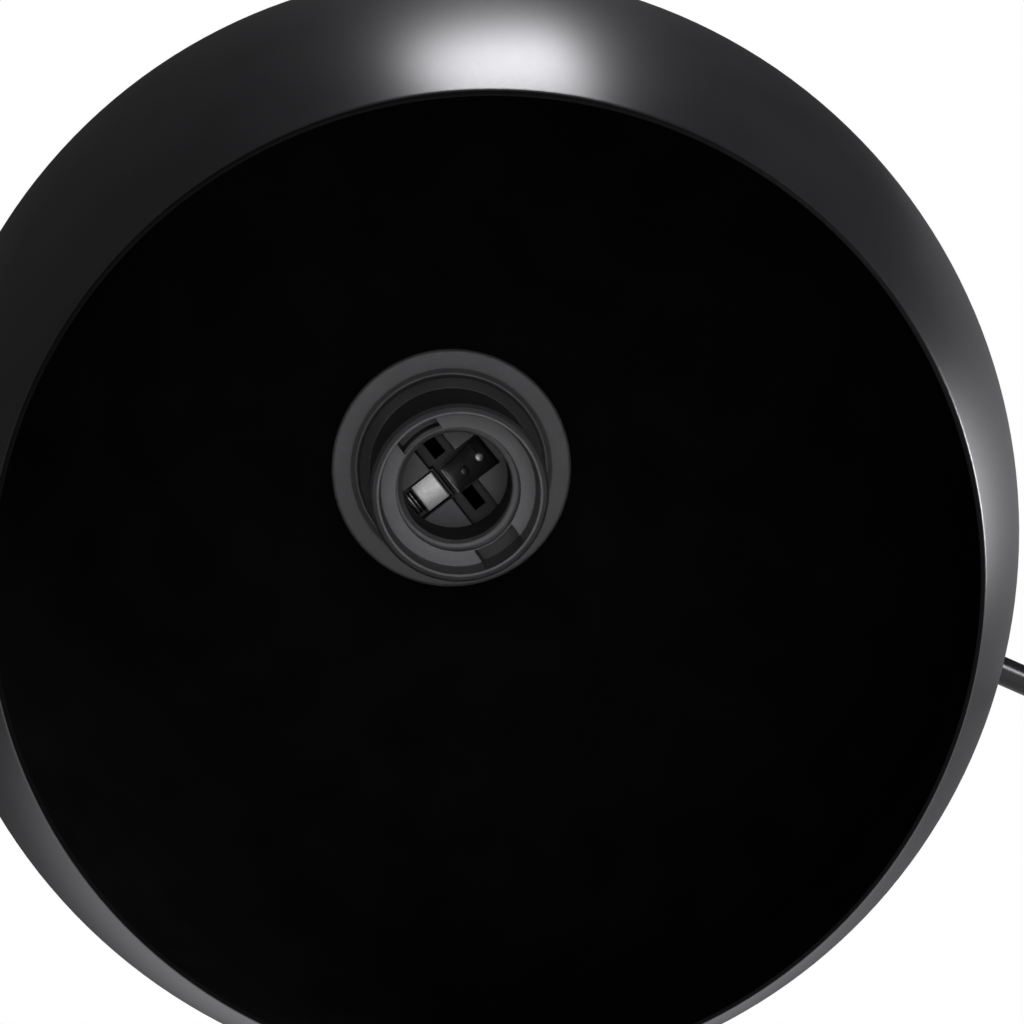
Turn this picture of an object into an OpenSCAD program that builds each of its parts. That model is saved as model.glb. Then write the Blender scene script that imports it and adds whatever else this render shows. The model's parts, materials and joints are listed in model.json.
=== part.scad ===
// Swing-arm floor reading lamp with a globe shade on a turning and tilting head.
// Millimetres, +Z up. The origin is on the floor, under the middle of the base.

/* [Pose] */
// Rise of the arm above level, in degrees
arm_rise = 20; // [0:1:45]
// Turn of the head about the arm, in degrees
head_turn = 130; // [60:1:150]
// Lean of the head towards the pole, in degrees
head_lean = 0; // [-60:1:10]

/* [Base] */
// Diameter of the base cover
base_d = 260; // [220:1:320]
// Height of the base over the floor
base_h = 24; // [22:1:36]
// Sheet thickness of the base cover
base_wall = 1.2; // [0.8:0.1:2]
// Radius of the rolled top edge of the cover
base_edge_r = 7; // [3:0.5:9]
// Thickness of the bottom plate
plate_t = 1.2; // [0.8:0.1:2]
// Thickness of the floor pad
pad_t = 3; // [2.5:0.5:5]
// Distance of the pad from the edge of the base
pad_inset = 6; // [3:1:20]
// Diameter of the plate screws
plate_screw_d = 4; // [3:0.5:5]
// Number of plate screws
plate_screw_count = 4; // [3:1:6]
// Bore of the cord inlet
inlet_d = 7; // [5:0.5:8]

/* [Pole] */
// Outside diameter of the pole
pole_d = 18; // [17.5:0.5:20]
// Wall thickness of the pole
pole_wall = 1.2; // [1:0.1:1.3]
// Length of the pole tube
pole_len = 620; // [560:5:800]
// Diameter of the foot of the pole socket
socket_foot_d = 54; // [44:1:80]
// Diameter of the hub of the pole socket
socket_hub_d = 28; // [26:1:36]
// Height of the pole socket
socket_h = 44; // [36:1:60]
// Diameter of the pole bolt
pole_bolt_d = 8; // [6:1:10]

/* [Height clamp] */
// Diameter of the clamp collar
collar_d = 28; // [26:1:36]
// Length of the collar below the end of the pole
collar_grip = 24; // [18:1:40]
// Length of the guide bush in the collar
bush_h = 22; // [18:1:30]
// Diameter of the clamp screw
clamp_screw_d = 6; // [5:0.5:8]
// Diameter of the height knob
height_knob_d = 30; // [24:1:40]
// Length of the height knob
height_knob_h = 15; // [10:1:24]

/* [Mast] */
// Outside diameter of the mast
mast_d = 14; // [13.5:0.1:14.6]
// Wall thickness of the mast
mast_wall = 1.2; // [1:0.1:1.4]
// Length of the mast tube
mast_len = 760; // [700:5:800]
// Length of the mast that stands out of the collar
mast_out = 470; // [420:5:500]

/* [Elbow] */
// Diameter of the yoke
yoke_d = 30; // [28:1:36]
// Width of the yoke over its two cheeks
yoke_w = 22; // [21:0.5:26]
// Depth of the slot below the pivot
yoke_slot = 21; // [20:1:28]
// Height of the solid foot of the yoke
yoke_foot_h = 9; // [7:1:16]
// Diameter of the spigot that turns in the mast
spigot_d = 9; // [8:0.1:9]
// Length of the swivel bush in the mast
swivel_len = 26; // [18:1:40]
// Thickness of the tongue of the arm
tongue_t = 10; // [8:0.5:11]
// Thickness of a friction washer
washer_t = 0.8; // [0.5:0.1:1]
// Diameter of the elbow bolt
elbow_bolt_d = 6; // [5:0.5:7]
// Diameter of the elbow knob
elbow_knob_d = 34; // [26:1:40]
// Length of the elbow knob
elbow_knob_h = 16; // [12:1:24]

/* [Arm] */
// Length of the arm between its two pivots
arm_len = 450; // [350:5:560]
// Outside diameter of the arm tube
arm_d = 8; // [7.6:0.1:9]
// Wall thickness of the arm tube
arm_wall = 1; // [0.6:0.1:1.4]
// Diameter of the ferrule and of the stem at the elbow
ferrule_d = 14; // [13:0.5:15]

/* [Knuckle] */
// Diameter of the knuckle
knuckle_d = 22; // [21:0.5:24]
// Width of the knuckle over its two cheeks
knuckle_w = 17; // [16.5:0.5:20]
// Thickness of the tongue in the knuckle
knuckle_t = 8; // [7:0.5:9]
// Length of the fork from the pivot to the cup
fork_reach = 32; // [30:1:40]
// Diameter of the swivel pin in the ferrule
pin_d = 6; // [5.4:0.1:6]
// Diameter of the knuckle screw
knuckle_screw_d = 5; // [4:0.5:6]

/* [Head cup] */
// Diameter of the cup behind the shade
cup_d = 50; // [49:0.5:56]
// Length of the cup
cup_len = 60; // [58:1:80]
// Sheet thickness of the cup
cup_wall = 1.2; // [0.8:0.1:1.6]
// Radius of the rounded back edge of the cup
cup_edge_r = 6; // [3:0.5:6]
// Diameter of the threaded nipple
nipple_d = 10; // [9:0.5:10]

/* [Shade] */
// Diameter of the shade at its widest part
shade_d = 223.6; // [200:0.2:280]
// Diameter of the mouth
shade_mouth_d = 173.6; // [130:0.2:176]
// Distance from the widest part of the shade to its mouth
shade_front_h = 99.4; // [80:0.2:120]
// Distance from the flat back of the shade to its widest part
shade_back_h = 71.6; // [60:0.2:76]
// Sheet thickness of the shade
shade_wall = 1.2; // [0.8:0.1:2]

/* [Lampholder] */
// Diameter of the shade ring
ring_d = 57; // [50:0.5:58]
// Thickness of the shade ring
ring_t = 2.5; // [2:0.1:4]
// Diameter of the lampholder skirt
skirt_d = 40; // [39.5:0.5:42]
// Length of the skirt in front of the shade ring
skirt_out = 43; // [40:1:48]
// Bore for the bulb
bulb_bore_d = 26.8; // [26.4:0.1:27]
// Depth from the mouth of the skirt to its floor
socket_depth = 33; // [31:0.5:36]
// Depth of the recessed face of the skirt
face_depth = 4.6; // [3:0.1:6]
// Turn of the contacts about the shade axis, in degrees
contact_turn = 62; // [0:1:90]
// Depth of the cross channel in the floor
channel_depth = 4; // [3:0.5:5]
// Width of the contact strip
strip_w = 6.6; // [5:0.1:7]

/* [Switch] */
// Diameter of the push button
button_d = 7; // [5:0.5:7.5]
// Travel of the push button
button_travel = 3; // [2:0.5:3.5]
// Diameter of the ring nut of the switch
switch_nut_d = 15; // [14:0.5:18]

/* [Gaps] */
// Radial gap between pieces that stay together
fit = 0.1; // [0.05:0.01:0.15]
// Radial gap between pieces that turn in each other
run = 0.05; // [0.02:0.01:0.09]
// Gap between faces that turn past each other
face = 0.15; // [0.1:0.05:0.3]
// Radial gap between pieces that slide in each other
slide = 0.3; // [0.3:0.05:0.4]

/* [Hidden] */
$fn = 64;
// Overrun of a cut past the face it opens
cut = 1;
// Overlap of shapes that make one solid
lap = 0.5;
// Depth of a hexagon socket in a screw
hex_depth = 1.6;

// Heights in the base
weight_z = pad_t + plate_t;
weight_top = base_h - base_wall;
weight_gap = 0.6;
weight_r = base_d / 2 - base_wall - weight_gap;
plate_gap = 0.4;
plate_r = base_d / 2 - base_wall - plate_gap;
inlet_wall = 1.5;
inlet_neck_d = inlet_d + 2 * inlet_wall;
inlet_gap = 0.5;
inlet_z = weight_z + inlet_neck_d / 2 + inlet_gap;
inlet_rim = 2;
inlet_rim_t = 2.4;
inlet_reach = 2.2;
screw_inset = 46;
screw_ring_r = base_d / 2 - screw_inset;
screw_head_t = pad_t * 0.55;
screw_head_d = 2 * plate_screw_d;
screw_len = 9;
screw_slot_w = 1;
screw_slot_depth = 0.7;
screw_hole_gap = 1;
bolt_pocket_d = 26;
bolt_pocket_h = 9.5;
pole_washer_t = 1.6;
washer_gap = 1;
bolt_head_h = 5.5;
bolt_seat_z = weight_z + bolt_pocket_h;

// Heights along the pole and the mast
socket_floor = 9;
socket_foot_h = 5;
socket_edge_r = 2;
pole_z = base_h + socket_floor;
pole_top = pole_z + pole_len;
pole_bore_d = pole_d - 2 * pole_wall;
collar_top = pole_top + bush_h;
socket_grub_z = base_h + socket_h * 0.7;
collar_grub_z = pole_top - collar_grip / 2;
bush_rim_t = 2;
bush_edge_r = 1;
clamp_z = pole_top + bush_h / 2;
boss_wall = 4;
boss_d = clamp_screw_d + 2 * boss_wall;
boss_out = 6;
boss_x = collar_d / 2 + boss_out;
slug_d = clamp_screw_d - 2 * fit;
slug_x = mast_d / 2 + slide;
slug_len = 4;
mast_top = collar_top + bush_rim_t + mast_out;
mast_z = mast_top - mast_len;
mast_bore_d = mast_d - 2 * mast_wall;
guide_h = 12;
swivel_rim_t = 1.5;
yoke_z = mast_top + swivel_rim_t + face;
pivot_z = yoke_z + yoke_foot_h + yoke_slot;

// Spigot of the yoke and its clip
clip_t = 1;
clip_depth = 0.8;
clip_gap = 0.3;
clip_clear = 0.5;
spigot_tail = 2;
spigot_len = face + swivel_rim_t + swivel_len + clip_gap + clip_t + spigot_tail;
wire_d = 4;
pin_wire_d = 3.5;

// Elbow
yoke_gap = tongue_t + 2 * washer_t + 2 * face;
tongue_inset = 1;
tongue_d = yoke_d - 2 * tongue_inset;
stem_gap = 3.5;
stem_x = yoke_d / 2 + stem_gap;
stem_web = ferrule_d - 2;
wire_lap = 3;
stem_len = 28;
stem_seat = 6;
elbow_head_d = 2 * elbow_bolt_d;
elbow_head_h = 4;
elbow_hub_d = elbow_head_d + 4;
knob_hub_h = 3;
knob_edge_r = 2;

// Arm and knuckle
knuckle_gap = knuckle_t + 2 * face;
knuckle_web = 10;
knuckle_stem_d = 12;
collar_gap = 3;
collar_len = 4;
collar_x = knuckle_d / 2 + collar_gap;
shoulder_x = collar_x + collar_len;
ferrule_x = shoulder_x + face;
pin_seat = 15;
clip_x = ferrule_x + pin_seat + clip_gap;
pin_end_x = clip_x + clip_t + spigot_tail;
tube_gap = 2;
tube_end_x = pin_end_x + tube_gap;
ferrule_grip = 14;
ferrule_end_x = tube_end_x + ferrule_grip;
ferrule_edge_r = 1;
grub_d = 4;
grub_sink = 0.5;
arm_grub_sink = 0.3;
stem_grub = 8;
ferrule_grub = 6;
fork_slot = knuckle_d / 2 + collar_gap;
fork_web = 6;
fork_foot_d = knuckle_d - 3;
fork_foot_h = 3;
knuckle_head_h = 3;
knuckle_tail = 1;
knuckle_nut_h = 5;
knuckle_nut_edge_r = 0.8;
neck_d = 16;

// Distances along the shade axis from the tilt pivot
cup_z = fork_reach;
flat_z = cup_z + cup_len;
seat_z = flat_z + shade_wall;
centre_z = flat_z + shade_back_h;
mouth_z = centre_z + shade_front_h;
// The shade is a round arc behind its widest part, and a flatter arc in front of it
back_x = shade_d / 2 - shade_back_h;
shade_draw = (shade_d - shade_mouth_d) / 2;
front_r = (pow(shade_draw, 2) + pow(shade_front_h, 2)) / (2 * shade_draw);
front_x = shade_d / 2 - front_r;
ring_face_z = seat_z + ring_t;
skirt_mouth_z = ring_face_z + skirt_out;
face_z = skirt_mouth_z - face_depth;
floor_z = skirt_mouth_z - socket_depth;
channel_z = floor_z - channel_depth;
shoulder_t = 2;
shoulder_z = flat_z - shoulder_t;
insert_step = 5;
insert_z = shoulder_z + insert_step;
skirt_wall = 1.5;
skirt_bore_d = skirt_d - 2 * skirt_wall;
sleeve_wall = 1.8;
shade_hole_d = skirt_d + 2 * fit;
cup_bore_d = cup_d - 2 * cup_wall;
cap_wall = 2;
nipple_wall = 1.5;
nipple_back = 10;
nipple_front = 15;
nipple_z = cup_z - nipple_back;
nipple_len = nipple_back + nipple_front;
nut_t = 3;
nut_gap = 0.4;
switch_back = 14;
switch_z = cup_z + switch_back;
switch_body_d = 12;
cap_neck_wall = 3;
cap_neck_d = nipple_d + 2 * cap_neck_wall;
cap_neck_z = cup_z + cup_wall + nut_t + nut_gap;
cap_gap = 1.5;
cap_dome_z = switch_z + switch_body_d / 2 + cap_gap;
cap_dome_h = 12;
cap_step = 4;
channel_gap = 0.9;
channel_w = strip_w + 2 * channel_gap;
cross_w = 7.4;
cross_end = bulb_bore_d / 2;
rib_x = 3.1;
rib_t = 0.6;
hole_near = 5;
hole_len = 5.4;
hole_w = 2.9;
hole_depth = 6;
boss_r = 11;
boss_h = 14;
boss_z = shoulder_z - boss_h;
terminal_t = 0.8;
terminal_r = boss_r + fit;
terminal_w = 5;
channel_end = terminal_r + terminal_t + channel_gap;
terminal_step = 5;
terminal_z = boss_z + terminal_step;
terminal_screw_d = 3;
terminal_head_d = 5;
terminal_head_h = 1.8;
terminal_screw_in = 6;
leg_gap = 1;
thread_pitch = 3.62;
thread_lead = 10;
thread_rise = 1;
thread_root = 1.2;
thread_crest = 0.3;
skirt_face_t = 2;
skirt_bevel = 1;
skirt_bevel_h = 3;
slot_turn = 92;
slot_w = 10.4;
slot_depth = 3;
slot_in = 0.7;
slot_out = 0.5;
ring_edge_r = 0.8;
ring_hub_d = skirt_d + 4;
ring_hub_h = 1.2;

// Contacts
leaf_t = 0.6;
leaf_root = 8.4;
leaf_tip = 1.4;
leaf_rise = 4.5;
leaf_slope = atan2(leaf_rise, leaf_root);
leaf_len = leaf_root / cos(leaf_slope);
leaf_gap = 0.6;
leaf_bend_d = 1;
bump_d = 2.4;
bump_h = 0.6;
leaf_z = channel_z + terminal_t + leaf_gap;
tab_len = 7.6;
tab_inset = 0.3;
tab_w = strip_w - 2 * tab_inset;
tab_drop = 1.2;
tab_slope = 3;

// Switch
switch_neck_d = 10;
switch_gap = 1;
switch_y = cap_neck_d / 2 + switch_gap;
switch_neck_h = 4;
switch_neck_y = cup_d / 2 + switch_neck_h;
switch_floor = 3;
switch_nut_t = 2.6;
button_proud = 1.5;
button_edge_r = 0.8;
button_top_y = switch_neck_y + button_travel + button_proud;
button_foot_y = switch_y + switch_floor + button_travel;

// Places in which the pieces are drawn

module at_pivot() translate([0, 0, pivot_z]) children();

// The arm runs along -X
module at_arm() at_pivot() rotate([0, arm_rise, 0]) children();

// The arm runs along +X, away from the tilt pivot
module at_turn() at_arm() translate([-arm_len, 0, 0]) rotate([head_turn, 0, 0]) children();

// The shade opens along +Z, with the tilt pivot at the origin
module at_head() at_turn() rotate([0, head_lean, 0]) children();

// The contact strip runs along +X
module at_contacts() at_head() rotate([0, 0, contact_turn]) children();

// Shapes that several pieces share

module along_x(d, h) rotate([0, 90, 0]) cylinder(d = d, h = h);

module along_y(d, h) rotate([-90, 0, 0]) cylinder(d = d, h = h);

module across_y(d, h) translate([0, -h / 2, 0]) along_y(d, h);

module tube(d, bore, h) difference() {
  cylinder(d = d, h = h);
  translate([0, 0, -cut]) cylinder(d = bore, h = h + 2 * cut);
}

// Half section of a disc with a rounded top edge
module rounded(r, h, e) {
  square([r - e, h]);
  square([r, h - e]);
  translate([r - e, h - e]) circle(r = e);
}

module spread(count, r) for (i = [0:count - 1])
  rotate([0, 0, 45 + 360 * i / count]) translate([r, 0, 0]) children();

// Open spring clip in a groove
module clip(d, groove_d) difference() {
  tube(d, groove_d + 2 * fit, clip_t);
  translate([0, -groove_d / 3, -cut]) cube([d, groove_d / 1.5, clip_t + 2 * cut]);
}

// Pin along +Z with a groove for a clip
module grooved_pin(d, len, groove_z) difference() {
  cylinder(d = d, h = len);
  translate([0, 0, groove_z]) tube(d + 2 * cut, d - clip_depth, clip_t);
  translate([0, 0, -cut]) cylinder(d = wire_d, h = len + 2 * cut);
}

// Fluted hand knob along +Z
module knob(d, h) difference() {
  rotate_extrude() rounded(d / 2, h, knob_edge_r);
  for (i = [0:7]) rotate([0, 0, 45 * i])
    translate([d * 0.56, 0, -cut]) cylinder(d = d * 0.22, h = h + 2 * cut);
}

// Slotted fork with its pivot at the origin, standing on -Z
module fork(d, w, gap, slot, reach, bore) difference() {
  intersection() {
    union() {
      across_y(d, w);
      translate([-d / 2, -w / 2, -reach]) cube([d, w, reach]);
    }
    translate([0, 0, -reach]) cylinder(d = d * 1.06, h = reach + d);
  }
  translate([-d, -gap / 2, -slot]) cube([2 * d, gap, slot + d]);
  across_y(bore, w + 2 * cut);
}

// Disc with a round stem along +X and a bore across it
module tongue(d, t, web, stem, from, to, bore) difference() {
  union() {
    across_y(d, t);
    translate([0, -t / 2, -web / 2]) cube([from + cut, t, web]);
    translate([from, 0, 0]) along_x(stem, to - from);
  }
  across_y(bore, t + 2 * cut);
}

// Short grub screw along +X with a hexagon socket at its outer end
module grub(d, from, to) translate([from, 0, 0]) difference() {
  along_x(d, to - from);
  translate([to - from - hex_depth, 0, 0]) rotate([0, 90, 0])
    cylinder(d = d * 0.55, h = hex_depth + cut, $fn = 6);
}

// Base

module base_cover() color("#202022") difference() {
  translate([0, 0, pad_t]) rotate_extrude() rounded(base_d / 2, base_h - pad_t, base_edge_r);
  translate([0, 0, pad_t - cut]) rotate_extrude()
    rounded(base_d / 2 - base_wall, weight_top - pad_t + cut, base_edge_r - base_wall);
  cylinder(d = pole_bolt_d + 2 * fit, h = base_h + cut);
  translate([0, base_d / 4, inlet_z]) along_y(inlet_neck_d + 2 * fit, base_d / 2);
}

module base_weight() color("#3a3a3c") difference() {
  rotate_extrude() polygon([[0, weight_z], [weight_r, weight_z], [weight_r, weight_top - base_edge_r],
    [weight_r - base_edge_r, weight_top], [0, weight_top]]);
  translate([0, 0, weight_z - cut]) cylinder(d = bolt_pocket_d, h = bolt_pocket_h + cut);
  cylinder(d = pole_bolt_d + 2 * fit, h = base_h);
  translate([-inlet_neck_d / 2 - inlet_gap, 0, weight_z - cut])
    cube([inlet_neck_d + 2 * inlet_gap, base_d, inlet_neck_d + 2 * inlet_gap + cut]);
  spread(plate_screw_count, screw_ring_r)
    translate([0, 0, weight_z - cut]) cylinder(d = plate_screw_d + 2 * fit, h = screw_len + cut);
}

module bottom_plate() color("#4a4a4c") difference() {
  translate([0, 0, pad_t]) cylinder(r = plate_r, h = plate_t);
  spread(plate_screw_count, screw_ring_r) cylinder(d = plate_screw_d + 2 * fit, h = weight_z + cut);
}

module plate_screws() color("#8c8c90") spread(plate_screw_count, screw_ring_r) difference() {
  union() {
    translate([0, 0, pad_t - screw_head_t]) cylinder(d = screw_head_d, h = screw_head_t);
    translate([0, 0, pad_t - lap]) cylinder(d = plate_screw_d, h = screw_len);
  }
  translate([-plate_screw_d, -screw_slot_w / 2, pad_t - screw_head_t - cut])
    cube([2 * plate_screw_d, screw_slot_w, cut + screw_slot_depth]);
}

module base_pad() color("#161616") difference() {
  cylinder(r = base_d / 2 - pad_inset, h = pad_t);
  spread(plate_screw_count, screw_ring_r)
    translate([0, 0, -cut]) cylinder(d = screw_head_d + 2 * screw_hole_gap, h = pad_t + 2 * cut);
}

module cord_inlet() color("#161617") translate([0, base_d / 2, inlet_z]) difference() {
  union() {
    translate([0, fit, 0]) along_y(inlet_neck_d + 2 * inlet_rim, inlet_rim_t);
    translate([0, -base_wall - inlet_reach, 0])
      along_y(inlet_neck_d, base_wall + inlet_reach + fit + lap);
  }
  translate([0, -base_wall - inlet_reach - cut, 0])
    along_y(inlet_d, base_wall + inlet_reach + fit + inlet_rim_t + 2 * cut);
}

// Pole

module pole_socket() color("#222224") difference() {
  union() {
    translate([0, 0, base_h]) rotate_extrude() rounded(socket_foot_d / 2, socket_foot_h, socket_edge_r);
    translate([0, 0, base_h]) rotate_extrude() rounded(socket_hub_d / 2, socket_h, socket_edge_r);
  }
  translate([0, 0, pole_z]) cylinder(d = pole_d + 2 * fit, h = socket_h);
  translate([0, 0, base_h - cut]) cylinder(d = pole_bolt_d + 2 * fit, h = socket_floor + 2 * cut);
  translate([0, 0, socket_grub_z]) rotate([0, 0, 90]) along_x(grub_d + 2 * fit, socket_hub_d);
}

module pole_bolt() color("#8c8c90") {
  translate([0, 0, bolt_seat_z - pole_washer_t - bolt_head_h])
    cylinder(d = 1.85 * pole_bolt_d, h = bolt_head_h, $fn = 6);
  translate([0, 0, bolt_seat_z - pole_washer_t - lap])
    cylinder(d = pole_bolt_d, h = base_h + socket_floor - bolt_seat_z + pole_washer_t);
}

module pole_washer() color("#8c8c90") translate([0, 0, bolt_seat_z - pole_washer_t])
  tube(bolt_pocket_d - 2 * washer_gap, pole_bolt_d + 2 * fit, pole_washer_t);

module pole_tube() color("#222224") translate([0, 0, pole_z]) tube(pole_d, pole_bore_d, pole_len);

// Height clamp

module clamp_collar() color("#1e1e20") difference() {
  union() {
    translate([0, 0, pole_top - collar_grip]) cylinder(d = collar_d, h = collar_grip + bush_h);
    translate([0, 0, clamp_z]) along_x(boss_d, boss_x);
  }
  translate([0, 0, pole_top - collar_grip - cut])
    cylinder(d = pole_d + 2 * fit, h = collar_grip + bush_h + 2 * cut);
  translate([0, 0, clamp_z]) along_x(clamp_screw_d + 2 * run, boss_x + cut);
  translate([0, 0, collar_grub_z]) rotate([0, 0, 90]) along_x(grub_d + 2 * fit, collar_d);
}

module guide_bush() color("#2c2c2e") difference() {
  union() {
    translate([0, 0, pole_top]) cylinder(d = pole_d, h = bush_h);
    translate([0, 0, collar_top]) rotate_extrude()
      rounded(collar_d / 2 - bush_edge_r, bush_rim_t, bush_edge_r);
  }
  translate([0, 0, pole_top - cut]) cylinder(d = mast_d + 2 * run, h = bush_h + bush_rim_t + 2 * cut);
  translate([0, 0, clamp_z]) along_x(clamp_screw_d + 2 * run, pole_d);
}

module clamp_pad() color("#d8d4c8") translate([slug_x, 0, clamp_z]) along_x(slug_d, slug_len);

module grub_screws() color("#6a6a6e") {
  translate([0, 0, socket_grub_z]) rotate([0, 0, 90])
    grub(grub_d, pole_d / 2, socket_hub_d / 2 - grub_sink);
  translate([0, 0, collar_grub_z]) rotate([0, 0, 90])
    grub(grub_d, pole_d / 2, collar_d / 2 - grub_sink);
}

module height_knob() color("#1a1a1b") {
  translate([slug_x + slug_len + face, 0, clamp_z])
    along_x(clamp_screw_d, boss_x + knob_hub_h - slug_x - slug_len);
  translate([boss_x + face, 0, clamp_z]) along_x(boss_d, knob_hub_h);
  translate([boss_x + face + knob_hub_h - lap, 0, clamp_z]) rotate([0, 90, 0])
    knob(height_knob_d, height_knob_h);
}

// Mast

module mast_tube() color("#222224") translate([0, 0, mast_z]) tube(mast_d, mast_bore_d, mast_len);

module mast_guide() color("#2c2c2e") difference() {
  union() {
    translate([0, 0, mast_z - guide_h]) cylinder(d = pole_bore_d - 2 * slide, h = guide_h);
    translate([0, 0, mast_z - cut]) cylinder(d = mast_bore_d - 2 * fit, h = guide_h + cut);
  }
  translate([0, 0, mast_z - guide_h - cut]) cylinder(d = inlet_d, h = 2 * guide_h + 2 * cut);
}

module swivel_bush() color("#b08d4a") difference() {
  union() {
    translate([0, 0, mast_top - swivel_len])
      cylinder(d = mast_bore_d - 2 * fit, h = swivel_len + swivel_rim_t);
    translate([0, 0, mast_top]) cylinder(d = mast_d, h = swivel_rim_t);
  }
  translate([0, 0, mast_top - swivel_len - cut])
    cylinder(d = spigot_d + 2 * run, h = swivel_len + swivel_rim_t + 2 * cut);
}

// Elbow

module yoke() color("#1e1e20") at_pivot() difference() {
  union() {
    fork(yoke_d, yoke_w, yoke_gap, yoke_slot, yoke_slot + yoke_foot_h, elbow_bolt_d + 2 * fit);
    translate([0, 0, -yoke_slot - yoke_foot_h]) rotate([180, 0, 0])
      grooved_pin(spigot_d, spigot_len, face + swivel_rim_t + swivel_len + clip_gap);
  }
  translate([0, 0, -yoke_slot - yoke_foot_h - cut]) cylinder(d = wire_d, h = yoke_foot_h + 2 * cut);
}

module yoke_clip() color("#8c8c90") translate([0, 0, mast_top - swivel_len - clip_gap - clip_t])
  clip(mast_bore_d - 2 * clip_clear, spigot_d - clip_depth);

module elbow_bolt() color("#8c8c90") at_pivot() difference() {
  union() {
    translate([0, -yoke_w / 2 - face - knob_hub_h - elbow_knob_h * 0.7, 0])
      along_y(elbow_bolt_d, yoke_w + 2 * face + knob_hub_h + elbow_knob_h * 0.7);
    translate([0, yoke_w / 2, 0]) along_y(elbow_head_d, elbow_head_h);
  }
  translate([0, yoke_w / 2 + elbow_head_h - hex_depth, 0]) rotate([-90, 0, 0])
    cylinder(d = elbow_bolt_d * 0.75, h = hex_depth + cut, $fn = 6);
}

module elbow_washers() color("#5c3a26") at_pivot() for (s = [0, 1]) mirror([0, s, 0])
  translate([0, yoke_gap / 2 - washer_t, 0]) rotate([-90, 0, 0])
    tube(tongue_d - 2 * tongue_inset, elbow_bolt_d + 2 * fit, washer_t);

module elbow_knob() color("#1a1a1b") at_pivot() difference() {
  union() {
    translate([0, -yoke_w / 2 - face, 0]) rotate([90, 0, 0])
      cylinder(d = elbow_hub_d, h = knob_hub_h);
    translate([0, -yoke_w / 2 - face - knob_hub_h + lap, 0]) rotate([90, 0, 0])
      knob(elbow_knob_d, elbow_knob_h);
  }
  translate([0, -yoke_w / 2 - face - knob_hub_h - elbow_knob_h * 0.75, 0])
    along_y(elbow_bolt_d + 2 * run, knob_hub_h + elbow_knob_h);
}

// Arm

module arm_tongue() color("#1e1e20") at_arm() rotate([0, 180, 0]) difference() {
  tongue(tongue_d, tongue_t, stem_web, ferrule_d, stem_x, stem_x + stem_len, elbow_bolt_d + 2 * run);
  translate([stem_x + stem_seat, 0, 0]) along_x(arm_d + 2 * fit, stem_len);
  translate([yoke_d / 2 - wire_lap, 0, 0]) along_x(wire_d, stem_len);
  translate([stem_x + stem_len - stem_grub, 0, 0]) along_y(grub_d + 2 * fit, ferrule_d);
}

module arm_tube() color("#222224") at_arm() translate([-arm_len + tube_end_x, 0, 0]) rotate([0, 90, 0])
  tube(arm_d, arm_d - 2 * arm_wall, arm_len - tube_end_x - stem_x - stem_seat);

module arm_ferrule() color("#1e1e20") at_arm() translate([-arm_len, 0, 0]) difference() {
  translate([ferrule_end_x, 0, 0]) rotate([0, -90, 0])
    rotate_extrude() rounded(ferrule_d / 2, ferrule_end_x - ferrule_x, ferrule_edge_r);
  translate([ferrule_x - cut, 0, 0]) along_x(pin_d + 2 * run, ferrule_end_x);
  translate([ferrule_x + pin_seat, 0, 0]) along_x(arm_d + 2 * fit, ferrule_end_x);
  translate([ferrule_end_x - ferrule_grub, 0, 0]) along_y(grub_d + 2 * fit, ferrule_d);
}

module arm_grub_screws() color("#6a6a6e") at_arm() {
  for (x = [-stem_x - stem_len + stem_grub, -arm_len + ferrule_end_x - ferrule_grub])
    translate([x, 0, 0]) rotate([0, 0, 90]) grub(grub_d, arm_d / 2, ferrule_d / 2 - arm_grub_sink);
}

// Knuckle

module knuckle_tongue() color("#1e1e20") at_turn() difference() {
  union() {
    tongue(knuckle_d, knuckle_t, knuckle_web, knuckle_stem_d, collar_x, shoulder_x,
      knuckle_screw_d + 2 * run);
    translate([shoulder_x - lap, 0, 0]) rotate([0, 90, 0])
      grooved_pin(pin_d, pin_end_x - shoulder_x + lap, clip_x - shoulder_x + lap);
  }
  translate([knuckle_d / 2 - wire_lap, 0, 0]) along_x(pin_wire_d, shoulder_x);
}

module swivel_clip() color("#8c8c90") at_turn() translate([clip_x, 0, 0]) rotate([0, 90, 0])
  clip(arm_d - 2 * clip_gap, pin_d - clip_depth);

module knuckle_fork() color("#1e1e20") at_head() difference() {
  union() {
    rotate([180, 0, 0])
      fork(knuckle_d, knuckle_w, knuckle_gap, fork_slot, fork_slot + fork_web, knuckle_screw_d + 2 * fit);
    translate([0, 0, fork_slot + fork_web - lap]) cylinder(d = fork_foot_d, h = fork_foot_h);
    translate([0, 0, fork_slot + fork_web - lap])
      cylinder(d = neck_d, h = fork_reach - fork_slot - fork_web + lap);
  }
  translate([0, 0, nipple_z]) cylinder(d = nipple_d + 2 * fit, h = fork_reach);
  translate([0, 0, fork_slot - cut]) cylinder(d = wire_d, h = fork_reach);
}

module knuckle_screw() color("#8c8c90") at_head() difference() {
  union() {
    translate([0, -knuckle_w / 2 - knuckle_nut_h - knuckle_tail, 0])
      along_y(knuckle_screw_d, knuckle_w + knuckle_nut_h + knuckle_tail + lap);
    translate([0, knuckle_w / 2, 0]) along_y(2 * knuckle_screw_d, knuckle_head_h);
  }
  translate([0, knuckle_w / 2 + knuckle_head_h - hex_depth, 0]) rotate([-90, 0, 0])
    cylinder(d = knuckle_screw_d * 0.75, h = hex_depth + cut, $fn = 6);
}

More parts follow.
